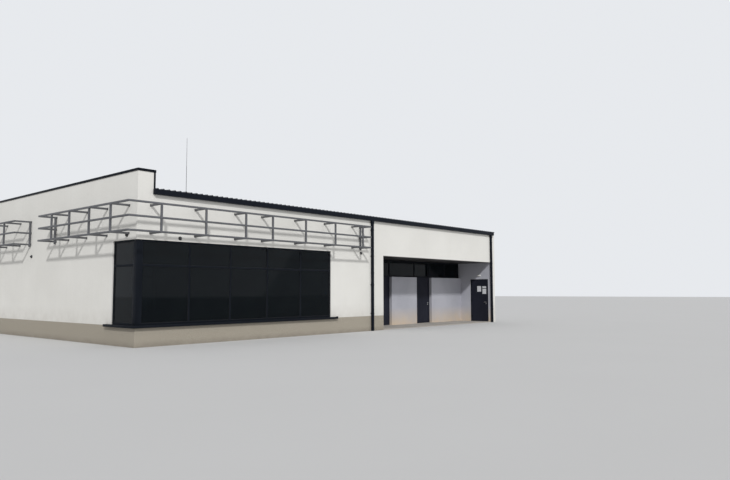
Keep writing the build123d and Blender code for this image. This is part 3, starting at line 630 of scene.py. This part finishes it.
# %% Roof screws
WASHER, WASHER_TOP = 0.0095, RIB_HEIGHT + 0.0025
HEAD, HEAD_FOOT, HEAD_TOP = 0.0048, RIB_HEIGHT + 0.002, RIB_HEIGHT + 0.007
SCREW_ROWS = ((0.06, 1), (RUN - 0.26, 1), (1.35, 2), (2.65, 2), (3.95, 2), (5.2, 2))
for side in ("front", "rear"):
    bm = bmesh.new()
    for row, every in SCREW_ROWS:
        for x in rib_middles(side)[::every]:
            add_rod(bm, (x, row, RIB_HEIGHT), (x, row, WASHER_TOP), WASHER, 0.8 * WASHER, sides=8)
            add_rod(bm, (x, row, HEAD_FOOT), (x, row, HEAD_TOP), HEAD, sides=6)
    bmesh.ops.transform(bm, matrix=slope_matrix(side), verts=bm.verts)
    as_piece(bm, f"{side}_roof_screws", ZINC, smooth=0)

# %% [markdown]
# The ridge flashing is bent from one strip: two wings over the crests, each with a hem turned down at
# its edge. A roofer notches the hem over the ribs, and here it simply runs into them. Drawing one open
# profile and giving it a thickness is closer to how it is made than stacking two plates.

# %% Ridge flashing
HEM, FLASHING_METAL = 0.03, 0.002
low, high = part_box("ridge_cap")
wing, peak = high.y, high.z - FLASHING_METAL
edge = peak - wing * math.tan(PITCH_OF_ROOF)
section = [(-wing, edge - HEM), (-wing, edge), (0, peak), (wing, edge), (wing, edge - HEM)]
bm = bmesh.new()
points = [bm.verts.new((low.x, y, z)) for y, z in section]
lines = [bm.edges.new(pair) for pair in zip(points, points[1:])]
push(bm, bmesh.ops.extrude_edge_only(bm, edges=lines), (high.x - low.x, 0, 0))
bmesh.ops.recalc_face_normals(bm, faces=bm.faces)
bmesh.ops.solidify(bm, geom=list(bm.faces), thickness=FLASHING_METAL)
as_piece(bm, "ridge_flashing", ROOF_SHEET, stands_for=("ridge_cap",), smooth=0)

# %% [markdown]
# ## Parapet coping
#
# The gable wall ends in a folded metal coping. The solid gives its form; the copy has rounded folds.
# Coping comes in lengths of two metres, and a strap covers each joint. The straps are thin blocks
# that follow the three faces of the fold.

# %% Coping and its joint straps
STRAP, STRAP_METAL, STRAP_ROUND, JOINT_STEP, LAST_LENGTH = 0.05, 0.0025, 0.0008, 2.05, 0.3
softened("gable_coping", 0.003, ANTHRACITE)
low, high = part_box("gable_coping")
leg_foot, leg_top = low.z + 0.004, high.z - 0.001
bm = bmesh.new()
joint = low.y + JOINT_STEP
while joint < high.y - LAST_LENGTH:
    end = joint + STRAP
    corner = (high.x + STRAP_METAL, end, high.z + STRAP_METAL)
    add_block(bm, (low.x - STRAP_METAL, joint, high.z), corner, STRAP_ROUND)
    for face, out in ((low.x, -STRAP_METAL), (high.x, STRAP_METAL)):
        near, far = sorted((face, face + out))
        add_block(bm, (near, joint, leg_foot), (far, end, leg_top), STRAP_ROUND)
    joint += JOINT_STEP
as_piece(bm, "coping_straps", ANTHRACITE)

# %% [markdown]
# ## Gutters and downpipes
#
# The gutter solid is a folded box with closed ends. What makes it read as a gutter is the rolled bead
# along its outer rim, the flat spacers across its open top, a sleeve at each joint and a cap at each
# end. A sleeve or cap is two thin blocks, on the front and under the bottom, since the back lies on
# the fascia.

# %% Beads, spacers, sleeves and caps
BEAD, BEAD_OUT, SLEEVE, SLEEVE_METAL, END_CAP = 0.008, 0.003, 0.08, 0.0018, 0.015
SPACER, SPACER_STEP, FIRST_SPACER, LAST_SPACER = 0.025, 0.82, 0.3, 0.1
JOINT_SHARES, JOINT_SHIFT = (0.2, 0.4, 0.6, 0.8), 0.1


def add_sleeve(bm, start, end, foot, top, outer, inner, skin):
    """A thin band on the front of a gutter and under its bottom."""
    front, across = sorted((outer, outer + skin)), sorted((outer + skin, inner))
    add_block(bm, (start, front[0], foot - SLEEVE_METAL), (end, front[1], top), 0.0006, 1)
    add_block(bm, (start, across[0], foot - SLEEVE_METAL), (end, across[1], foot), 0.0006, 1)


for (low, high), side in zip(solid_boxes("gutters"), ("front", "rear")):
    outward = -1 if side == "front" else 1
    outer, inner = (low.y, high.y) if side == "front" else (high.y, low.y)
    lip, lip_z = outer - outward * (BEAD - BEAD_OUT), high.z - BEAD + 0.002
    bm = bmesh.new()
    add_rod(bm, (low.x, lip, lip_z), (high.x, lip, lip_z), BEAD, sides=16)
    near, far = sorted((outer - outward * 0.004, inner))
    place = low.x + FIRST_SPACER
    while place < high.x - LAST_SPACER:
        corner = (place + SPACER, far, high.z - 0.0005)
        add_block(bm, (place, near, high.z - 0.004), corner, 0.001, 1)
        place += SPACER_STEP
    middles = [low.x + share * (high.x - low.x) + JOINT_SHIFT for share in JOINT_SHARES]
    bands = [(middle - SLEEVE / 2, middle + SLEEVE / 2) for middle in middles]
    for start, end in (*bands, (low.x, low.x + END_CAP), (high.x - END_CAP, high.x)):
        skin = outward * SLEEVE_METAL
        add_sleeve(bm, start, end, low.z, high.z - 2 * BEAD, outer, inner, skin)
    as_piece(bm, f"{side}_gutter_fittings", GUTTER_COAT)

# %% [markdown]
# The downpipes are square tube with rounded corners, under an outlet that widens to the gutter. Each
# is a stack of blocks with bevelled edges: two lengths of tube, a socket at their joint, a collar,
# and an outlet whose upper corners are pulled apart before the bevel. A band is clamped round the
# tube by two ears, and held to the wall by a block and a strap with two bolts. A strap that is long
# on one side has both bolts there.

# %% Square downpipes
TUBE, OUTLET, OUTLET_DEPTH, OUTLET_HEIGHT = 0.1, 0.15, 0.105, 0.15
JOINT, JOINT_HALF, JOINT_METAL, TUBE_LAP = 2.42, 0.035, 0.0035, 0.01
BAND_HEIGHTS, BAND, BAND_METAL, STRAP_DEPTH = (0.7, 1.9, 3.1, 4.2), 0.04, 0.005, 0.008
STRAP_REACH, SHORT_REACH, BOLT, BOLT_LENGTH, BOLT_INSET = 0.06, 0.02, 0.0075, 0.006, 0.012


def add_tube(bm, x, y, foot, top, extra=0.0, rounding=0.012):
    """An upright square tube about a middle line, or a sleeve round it that is thicker by extra."""
    half = TUBE / 2 + extra
    add_block(bm, (x - half, y - half, foot), (x + half, y + half, top), rounding, 4)


def add_band(bm, x, y, wall, outward, foot, left, right, bolts):
    """A band round the tube, with its block, strap, bolts and ears."""
    top = foot + BAND
    add_tube(bm, x, y, foot, top, BAND_METAL, 0.01)
    near, far = sorted((y, wall))
    add_block(bm, (x - BAND / 2, near, foot), (x + BAND / 2, far, top), 0.002)
    near, far = sorted((wall, wall + outward * STRAP_DEPTH))
    add_block(bm, (x - left, near, foot), (x + right, far, top), 0.002)
    for along in bolts:
        head = Vector((x + along, wall + outward * (STRAP_DEPTH - 0.001), foot + BAND / 2))
        add_rod(bm, head, head + Vector((0, outward * BOLT_LENGTH, 0)), BOLT, sides=6)
    for ear in (-1, 1):
        middle = x + ear * (TUBE / 2 + BAND_METAL + 0.007)
        corner = (middle + 0.008, y + 0.005, top - 0.006)
        add_block(bm, (middle - 0.008, y - 0.005, foot + 0.006), corner, 0.001)


bm = bmesh.new()
for low, high in solid_boxes("downpipes"):
    outward = -1 if low.y < 0 else 1
    x = low.x + OUTLET / 2
    y = (low.y if outward < 0 else high.y) - outward * (TUBE / 2 + BAND_METAL)
    throat = high.z - OUTLET_HEIGHT
    add_tube(bm, x, y, 0, JOINT)
    add_tube(bm, x, y, JOINT - TUBE_LAP, throat + TUBE_LAP)
    add_tube(bm, x, y, JOINT - JOINT_HALF, JOINT + JOINT_HALF, JOINT_METAL)
    add_tube(bm, x, y, throat - 0.05, throat - 0.002, JOINT_METAL)
    funnel = bmesh.ops.create_cube(bm, size=1)["verts"]
    for vert in funnel:
        upper = vert.co.z > 0
        vert.co.x *= OUTLET if upper else TUBE
        vert.co.y *= OUTLET_DEPTH if upper else TUBE
        vert.co.z = high.z if upper else throat
    bmesh.ops.translate(bm, vec=(x, y, 0), verts=funnel)
    round_edges(bm, edges_at(funnel), 0.006, 3)
    left = right = STRAP_REACH
    bolts = (right - BOLT_INSET, BOLT_INSET - left)
    if high.x - x > OUTLET / 2 + 0.01:
        left, right = SHORT_REACH, high.x - x
        bolts = (right - BOLT_INSET, right - 0.034)
    for height in BAND_HEIGHTS:
        add_band(bm, x, y, outward * -FRONT, outward, height, left, right, bolts)
as_piece(bm, "square_downpipes", GUTTER_COAT, stands_for=("downpipes",))

# %% [markdown]
# ## Sign frames
#
# Square steel tube has rounded corners, so each frame is a copy of its solid with the edges bevelled
# by 7 mm, and the arms by 6 mm. Plastic plugs close the free ends of the rails, and a sealing pad
# lies round each arm where it enters the render. Their places are read from the boxes of the arms
# and frames, so no list of places is typed again.

# %% Rounded tubes
FRAME_ROUND, ARM_ROUND = 0.007, 0.006
for side in ("front_sign_frame", "rear_sign_frame", "side_sign_frames"):
    softened(side, FRAME_ROUND, ZINC)
for side in ("front_sign_arms", "rear_sign_arms", "side_sign_arms"):
    softened(side, ARM_ROUND, ZINC)

# %% Sealing pads and end plugs
TUBE_SIDE, SINGLE_ARM, PAD, PLUG, PAD_DEPTH = 0.06, 0.07, 0.075, 0.054, 0.003


def add_pad(bm, flat, middle, level, face, outward, side):
    """A flat square pad on a face; flat is the axis that looks out of it."""
    low, high = [0, 0, level - side / 2], [0, 0, level + side / 2]
    low[flat], high[flat] = sorted((face, face + outward * PAD_DEPTH))
    low[1 - flat], high[1 - flat] = middle - side / 2, middle + side / 2
    add_block(bm, low, high, 0.001, 1)


pads, plugs = bmesh.new(), bmesh.new()
for name in ("front_sign_arms", "rear_sign_arms", "side_sign_arms"):
    boxes = solid_boxes(name)
    flat = 0 if name == "side_sign_arms" else 1
    single = [(low.z + high.z) / 2 for low, high in boxes if high.z - low.z < SINGLE_ARM]
    levels = sorted({round(level, 4) for level in single})
    for low, high in boxes:
        outward = -1 if (low[flat] + high[flat]) < 0 else 1
        face = high[flat] if outward < 0 else low[flat]
        middle = (low[1 - flat] + high[1 - flat]) / 2
        tied = high.z - low.z > SINGLE_ARM
        for level in (levels[0], sum(levels) / 2, levels[-1]) if tied else ((low.z + high.z) / 2,):
            add_pad(pads, flat, middle, level, face, outward, PAD)
for name in ("front_sign_frame", "rear_sign_frame"):
    low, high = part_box(name)
    for level in (low.z + TUBE_SIDE / 2, (low.z + high.z) / 2, high.z - TUBE_SIDE / 2):
        add_pad(plugs, 0, (low.y + high.y) / 2, level, high.x, 1, PLUG)
as_piece(pads, "sealing_pads", RUBBER)
as_piece(plugs, "tube_plugs", LAMP_SHELL)

# %% [markdown]
# ## Windows
#
# The frames are extruded aluminium. Their edges get a 3 mm radius, and a black rubber seal runs round
# each pane on both sides. A block's big face could be inset and its middle cut away for that, but four
# thin strips laid round the pane are simpler, and a seal is fitted that way too.
# Small caps over the drainage slots sit on the bottom rail of each lower pane.

# %% Frames, seals and drainage caps
SEAL, SEAL_DEPTH, LOW_PANE, CAP_SHARES = 0.009, 0.006, 1.0, (0.22, 0.78)
CAP_HALF, CAP_FOOT, CAP_TOP, FRAME_FACE = 0.016, 0.042, 0.03, 0.023
for name in ("front_window_frame", "rear_window_frame", "window_returns", "clerestory_frame"):
    softened(name, 0.003, ANTHRACITE)


def add_ring(bm, low, high, thin, reach, width, edge=0.0015):
    """Four strips inside an outline. thin is the axis through it, reach their depth along that."""
    wide = 1 - thin
    left, right = (low[wide], low[wide] + width), (high[wide] - width, high[wide])
    between, upright = (left[1], right[0]), (low.z, high.z)
    rails = ((between, (low.z, low.z + width)), (between, (high.z - width, high.z)))
    for across, level in ((left, upright), (right, upright), *rails):
        first, last = [0, 0, level[0]], [0, 0, level[1]]
        first[thin], last[thin] = reach
        first[wide], last[wide] = across
        add_block(bm, first, last, edge, 1)


seals, caps = bmesh.new(), bmesh.new()
for node in ("window_glass", "clerestory_glass"):
    for low, high in solid_boxes(node):
        thin = 1 if high.y - low.y < 0.05 else 0
        add_ring(seals, low, high, thin, (low[thin] - SEAL_DEPTH, low[thin]), SEAL)
        add_ring(seals, low, high, thin, (high[thin], high[thin] + SEAL_DEPTH), SEAL)
        if low.z < LOW_PANE and node == "window_glass" and thin == 1:
            outward = -1 if low.y < 0 else 1
            face = (low.y if outward < 0 else high.y) + outward * FRAME_FACE
            near, far = sorted((face - outward * 0.001, face + outward * 0.005))
            for share in CAP_SHARES:
                x = low.x + share * (high.x - low.x)
                corner = (x + CAP_HALF, far, low.z - CAP_TOP)
                add_block(caps, (x - CAP_HALF, near, low.z - CAP_FOOT), corner, 0.002)
as_piece(seals, "glazing_seals", RUBBER, smooth=0)
as_piece(caps, "drainage_caps", ANTHRACITE)

# %% [markdown]
# The sill is folded from sheet, with a leg that turns down over the plaster. A rolled hem stiffens the
# lower edge of the leg, and a small upstand closes the far end beside the wall.

# %% Sills and hems
HEM_PLACE, HEM_RADIUS = 0.0042, 0.0042 * 1.3
UPSTAND, UPSTAND_METAL, UPSTAND_SINK = 0.016, 0.003, 0.002
softened("window_sills", 0.003, ANTHRACITE)
bm = bmesh.new()
for low, high in solid_boxes("window_sills"):
    outward = -1 if low.y < 0 else 1
    edge, far = (low.y, high.y) if outward < 0 else (high.y, low.y)
    corner = Vector((low.x + HEM_PLACE, edge - outward * HEM_PLACE, low.z + HEM_PLACE))
    add_rod(bm, corner, (high.x, corner.y, corner.z), HEM_RADIUS, sides=12)
    add_rod(bm, corner, (corner.x, far, corner.z), HEM_RADIUS, sides=12)
    near, wall = sorted((edge - outward * UPSTAND_SINK, outward * -FRONT))
    foot = (high.x - UPSTAND_METAL, near, high.z - UPSTAND_SINK)
    add_block(bm, foot, (high.x, wall, high.z + UPSTAND), 0.001)
as_piece(bm, "sill_hems", ANTHRACITE)

# %% [markdown]
# ## Soffit of the porch
#
# The ceiling of the porch is clad with long dark metal boards, 30 cm wide, with a shadow gap between
# them. Each board is a block with rounded edges, laid from the left wall to the right one. A thin
# plate closes the gaps from above, and a flat trim fills the strip from the boards to the glazing.

# %% Soffit boards
BOARD_GAP, BOARDS, BOARD_ROUND, BACKING, TRIM, TRIM_LAP = 0.008, 6, 0.003, 0.004, 0.003, 0.012
low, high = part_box("porch_soffit")
step = (high.y - low.y) / BOARDS
bm = bmesh.new()
for number in range(BOARDS):
    near = low.y + number * step
    corner = (high.x, near + step - BOARD_GAP, high.z - BACKING / 2)
    add_block(bm, (low.x, near, low.z), corner, BOARD_ROUND)
add_block(bm, (low.x, low.y + 0.01, high.z - BACKING), high)
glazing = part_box("clerestory_frame")[0].y
add_block(bm, (low.x, high.y - TRIM_LAP, low.z - TRIM), (high.x, glazing, low.z))
as_piece(bm, "soffit_boards", SOFFIT_COAT, stands_for=("porch_soffit",))

# %% [markdown]
# ## Doors
#
# A door leaf of this kind is a flat panel set into a frame of flat profiles. The leaf starts as one
# block. Insetting its two big faces draws the profiles, and a second inset that also moves inwards
# sinks the panel. That keeps the leaf one closed body, which a pile of boards would not be.

# %% Door leaves
BEAD_WIDTH, LEAF_ROUND = 0.006, 0.002


def door_leaf(node, body, profile, sink):
    """A leaf with profiles of the given width round a panel that lies deeper by sink."""
    low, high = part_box(node)
    thin = 1 if high.y - low.y < high.x - low.x else 0
    bm = bmesh.new()
    add_block(bm, low, high)
    for sign in (-1, 1):
        big = [f for f in bm.faces if f.normal[thin] * sign > 0.9]
        bmesh.ops.inset_individual(bm, faces=big, thickness=profile, depth=0)
        bmesh.ops.inset_individual(bm, faces=big, thickness=BEAD_WIDTH, depth=-sink)
    round_edges(bm, [e for e in bm.edges if e.calc_face_angle(0) > math.radians(60)], LEAF_ROUND)
    bmesh.ops.recalc_face_normals(bm, faces=bm.faces)
    as_piece(bm, f"{node}_leaf", DOOR_COAT, body, (node,))


door_leaf("entrance_door", "entrance_leaf", 0.095, 0.012)
door_leaf("side_door", "side_leaf", 0.018, 0.002)

# %% [markdown]
# A leaf shuts against a stop: a strip on the frame, just behind it, that also covers the running gap
# all round. It is the same ring of four strips as a glazing seal, only wider, and it belongs to the
# building, so it stays behind when the leaf swings away.

# %% Door stops
LEAF_GAP, STOP_LAP, STOP_DEPTH, STOP_PLAY = 0.008, 0.018, 0.018, 0.0005
bm = bmesh.new()
for node, thin in (("entrance_door", 1), ("side_door", 0)):
    low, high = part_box(node)
    gap = Vector((LEAF_GAP, LEAF_GAP, LEAF_GAP))
    reach = (high[thin] + STOP_PLAY, high[thin] + STOP_PLAY + STOP_DEPTH)
    add_ring(bm, low - gap, high + gap, thin, reach, LEAF_GAP + STOP_LAP, 0.001)
as_piece(bm, "door_stops", ANTHRACITE)

# %% [markdown]
# A lever handle is a round bar with a bend: it leaves the rose, turns through a quarter circle and
# runs level. A ring of edges is spun for the bend and its two ends are filled, and rods make the
# straight parts. A second rose below, with a small disc, is the lock. The solid handles are square
# bars, so these stand for them.

# %% Lever handles
LEVER, BEND, LEVER_LENGTH, LEVER_REACH, SIDES = 0.0095, 0.018, 0.135, 0.055, 20
ROSE, ROSE_TOP, HANDLE_HEIGHT, HANDLE_INSET = 0.026, 0.026 * 0.94, 1.05, 0.08
LOCK_DROP = Vector((0, 0, 0.085))


def add_bend(bm, start, out, along):
    """A quarter turn of the bar, from out to along."""
    before = set(bm.verts)
    ring = bmesh.ops.create_circle(bm, cap_ends=False, radius=LEVER, segments=SIDES)["verts"]
    turned = out.to_track_quat("Z", "Y").to_matrix()
    bmesh.ops.rotate(bm, cent=(0, 0, 0), matrix=turned, verts=ring)
    bmesh.ops.translate(bm, vec=start, verts=ring)
    edges = [e for e in bm.edges if e.verts[0] not in before]
    bmesh.ops.spin(
        bm, geom=[*ring, *edges], cent=start + along * BEND, axis=out.cross(along),
        angle=math.pi / 2, steps=8, dvec=(0, 0, 0),
    )
    bmesh.ops.holes_fill(bm, edges=[e for e in bm.edges if e.is_boundary])
    bmesh.ops.recalc_face_normals(bm, faces=bm.faces)


def add_lever(bm, foot, out, along):
    """Rose, lock, neck, bend and lever. foot is on the leaf's face, out and along are unit vectors."""
    foot, out, along = Vector(foot), Vector(out), Vector(along)
    lock, corner = foot - LOCK_DROP, foot + out * (LEVER_REACH - LEVER)
    tip, end = corner + along * (LEVER_LENGTH - 0.02), corner + along * (LEVER_LENGTH - 0.014)
    add_rod(bm, foot, foot + out * 0.007, ROSE, ROSE_TOP, sides=32)
    add_rod(bm, lock, lock + out * 0.006, ROSE, ROSE_TOP, sides=32)
    add_rod(bm, lock + out * 0.006, lock + out * 0.009, 0.0085, sides=SIDES)
    add_rod(bm, foot, corner - out * BEND, LEVER, sides=SIDES)
    add_bend(bm, corner - out * BEND, out, along)
    add_rod(bm, corner + along * BEND, tip, LEVER, sides=SIDES)
    add_rod(bm, tip, end, LEVER, LEVER * 0.8, sides=SIDES)


bm = bmesh.new()
low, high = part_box("entrance_door")
for face, out in ((low.y, (0, -1, 0)), (high.y, (0, 1, 0))):
    add_lever(bm, (high.x - HANDLE_INSET, face, HANDLE_HEIGHT), out, (-1, 0, 0))
as_piece(bm, "entrance_levers", BRUSHED, "entrance_leaf", ("entrance_door_handles",))
bm = bmesh.new()
low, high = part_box("side_door")
add_lever(bm, (low.x, low.y + HANDLE_INSET, HANDLE_HEIGHT), (-1, 0, 0), (0, 1, 0))
as_piece(bm, "side_lever", BRUSHED, "side_leaf", ("side_door_handle",))

# %% [markdown]
# Three sheets of paper are taped to the upper part of the side door. They are left blank, and each is
# a thin block on the leaf's face.

# %% Blank sheets
SHEETS = ((0.62, 0.86, 1.61, 1.91), (0.31, 0.54, 1.8, 1.9), (0.31, 0.54, 1.49, 1.765))
SHEET_BACK, SHEET_FACE = 0.0025, 0.0005
bm = bmesh.new()
for near, far, foot, top in SHEETS:
    add_block(bm, (low.x + SHEET_FACE, FRONT + near, foot), (low.x + SHEET_BACK, FRONT + far, top))
as_piece(bm, "blank_sheets", PAPER, "side_leaf", smooth=0)

# %% [markdown]
# ## Lamps and the lightning rod
#
# The dome lamps have a black base ring and a dome of smoked plastic. A half profile turned about the
# lamp's axis would do, and so do cones for the ring and a ball that sits half in it. Three lamps stand
# for solids, and the fourth, beside the corner, is only here.

# %% Dome lamps
CORNER_LAMP = (Vector((LEFT, FRONT + 0.56, 3.37)), Vector((-1, 0, 0)))
RING, RING_SIDE, RING_TOP, RING_DEPTH, BASE_DEPTH, DOME = 0.06, 0.058, 0.05, 0.018, 0.025, 0.0445
bm = bmesh.new()
lamps = [CORNER_LAMP]
for low, high in solid_boxes("wall_lamps"):
    flat = 1 if high.y - low.y < high.x - low.x else 0
    foot, out = (low + high) / 2, Vector((0, 0, 0))
    foot[flat], out[flat] = high[flat], -1
    lamps.append((foot, out))
for foot, out in lamps:
    add_rod(bm, foot, foot + out * RING_DEPTH, RING, RING_SIDE, sides=48)
    add_rod(bm, foot + out * RING_DEPTH, foot + out * BASE_DEPTH, RING_SIDE, RING_TOP, sides=48)
    before = set(bm.faces)
    ball = bmesh.ops.create_uvsphere(bm, u_segments=32, v_segments=16, radius=DOME)["verts"]
    bmesh.ops.translate(bm, vec=foot + out * BASE_DEPTH, verts=ball)
    for face in bm.faces:
        if face not in before:
            face.material_index = 1
as_piece(bm, "dome_lamps", (LAMP_SHELL, SMOKED), stands_for=("wall_lamps",))

# %% [markdown]
# The lamp over the side door is a small white bulkhead: a flat back, and a ribbed diffuser.

# %% Bulkhead lamp
LAMP_RIBS, RIB_INSET, RIB_HALF = 7, 0.03, 0.002
low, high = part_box("porch_lamp")
bm = bmesh.new()
add_block(bm, (high.x - 0.016, low.y, low.z), high, 0.004, 3)
corner = (high.x - 0.01, high.y - 0.012, high.z - 0.01)
add_block(bm, (low.x + 0.003, low.y + 0.012, low.z + 0.01), corner, 0.014, 4)
for number in range(LAMP_RIBS):
    y = low.y + RIB_INSET + number * (high.y - low.y - 2 * RIB_INSET) / (LAMP_RIBS - 1)
    corner = (high.x - 0.012, y + RIB_HALF, high.z - 0.014)
    add_block(bm, (low.x, y - RIB_HALF, low.z + 0.014), corner, 0.001)
as_piece(bm, "bulkhead_lamp", OPAL, stands_for=("porch_lamp",))

# %% [markdown]
# The lightning rod stands in a round concrete foot, which leans with the roof. The foot is a short
# cone with a rounded rim, and the rod stands upright and thins to its tip in four lengths.

# %% Lightning rod
FOOT, FOOT_TOP, FOOT_HEIGHT, FOOT_ROUND = 0.124, 0.115, 0.04, 0.01
CLAMP, CLAMP_SPAN = 0.016, (0.03, 0.07)
LENGTHS = ((0.05, 0.9, 0.008), (0.9, 1.5, 0.006), (1.5, 1.81, 0.005))
TIP_FOOT, TIP, POINT = 1.81, 0.005, 0.001
low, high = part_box("lightning_rod")
centre = (low + high) / 2
normal = Vector((0, -math.sin(PITCH_OF_ROOF), math.cos(PITCH_OF_ROOF)))
base = Vector((centre.x, centre.y, low.z + 0.0065))
bm = bmesh.new()
verts = add_rod(bm, base, base + normal * FOOT_HEIGHT, FOOT, FOOT_TOP, sides=48)
upper = [v for v in verts if (v.co - base).dot(normal) > FOOT_HEIGHT / 2]
round_edges(bm, [e for e in bm.edges if all(v in upper for v in e.verts)], FOOT_ROUND, 3)
as_piece(bm, "rod_foot", CONCRETE)


def above_foot(height):
    return (centre.x, centre.y, base.z + height)


bm = bmesh.new()
add_rod(bm, above_foot(CLAMP_SPAN[0]), above_foot(CLAMP_SPAN[1]), CLAMP, sides=24)
for start, end, radius in LENGTHS:
    add_rod(bm, above_foot(start), above_foot(end), radius, sides=16)
add_rod(bm, above_foot(TIP_FOOT), (centre.x, centre.y, high.z), TIP, POINT, sides=16)
as_piece(bm, "rod_and_clamp", ZINC, stands_for=("lightning_rod",))

# %% [markdown]
# ## Floor and light
#
# The building stands on a plain pale floor. Two sun lamps light it: a key light from the front left,
# narrow enough to draw the shadow of the sign frame on the wall, and a weak, very wide one that fills
# the front. The world fills the rest. Light Path lets the camera and the reflections see a paler
# background than the one that lights the building.

# %% Stage
FLOOR_HALF, FLOOR_DROP = 160, 0.002
bm = bmesh.new()
bmesh.ops.create_grid(bm, x_segments=1, y_segments=1, size=FLOOR_HALF)
bmesh.ops.translate(bm, vec=(0, 0, -FLOOR_DROP), verts=bm.verts)
floor_mesh = bpy.data.meshes.new("stage_floor")
bm.to_mesh(floor_mesh)
bm.free()
floor = add_object("stage_floor", floor_mesh)
pale = Finish("stage_floor", 0.95, specular=0.1)
tone = pale.layer(pale.noise(3.0), (0.6, 0.6, 0.595), (0.62, 0.62, 0.615))
floor_mesh.materials.append(pale.done(tone))
print("stage:", floor.name)

# %% Lights
def sun_lamp(name, source, strength, width):
    """A sun lamp: where its light comes from, how strong it is and how many degrees wide."""
    lamp = add_object(name, bpy.data.lights.new(name, "SUN"))
    lamp.rotation_euler = Vector(source).to_track_quat("Z", "Y").to_euler()
    lamp.data.energy = strength
    lamp.data.angle = math.radians(width)
    print(f"{name}: strength {strength}, {width} degrees wide")


sun_lamp("key_light", (-0.52, -0.6, 0.54), 1.9, 3.5)
sun_lamp("fill_light", (0.25, -0.9, 0.3), 0.35, 60)

# %% World
WORLD_LIGHT, BACKGROUND = (0.5, 0.505, 0.52, 1), (0.8, 0.82, 0.85, 1)
world = bpy.data.worlds.new("studio")
bpy.context.scene.world = world
world.use_nodes = True
tree = world.node_tree
path = tree.nodes.new("ShaderNodeLightPath")
seen = path.outputs["Is Camera Ray"]
for output in ("Is Glossy Ray", "Is Transmission Ray"):
    either = tree.nodes.new("ShaderNodeMath")
    either.operation = "MAXIMUM"
    tree.links.new(seen, either.inputs[0])
    tree.links.new(path.outputs[output], either.inputs[1])
    seen = either.outputs["Value"]
mixed = tree.nodes.new("ShaderNodeMix")
mixed.data_type = "RGBA"
mixed.inputs[6].default_value = WORLD_LIGHT
mixed.inputs[7].default_value = BACKGROUND
tree.links.new(seen, mixed.inputs[0])
tree.links.new(mixed.outputs[2], tree.nodes["Background"].inputs["Color"])
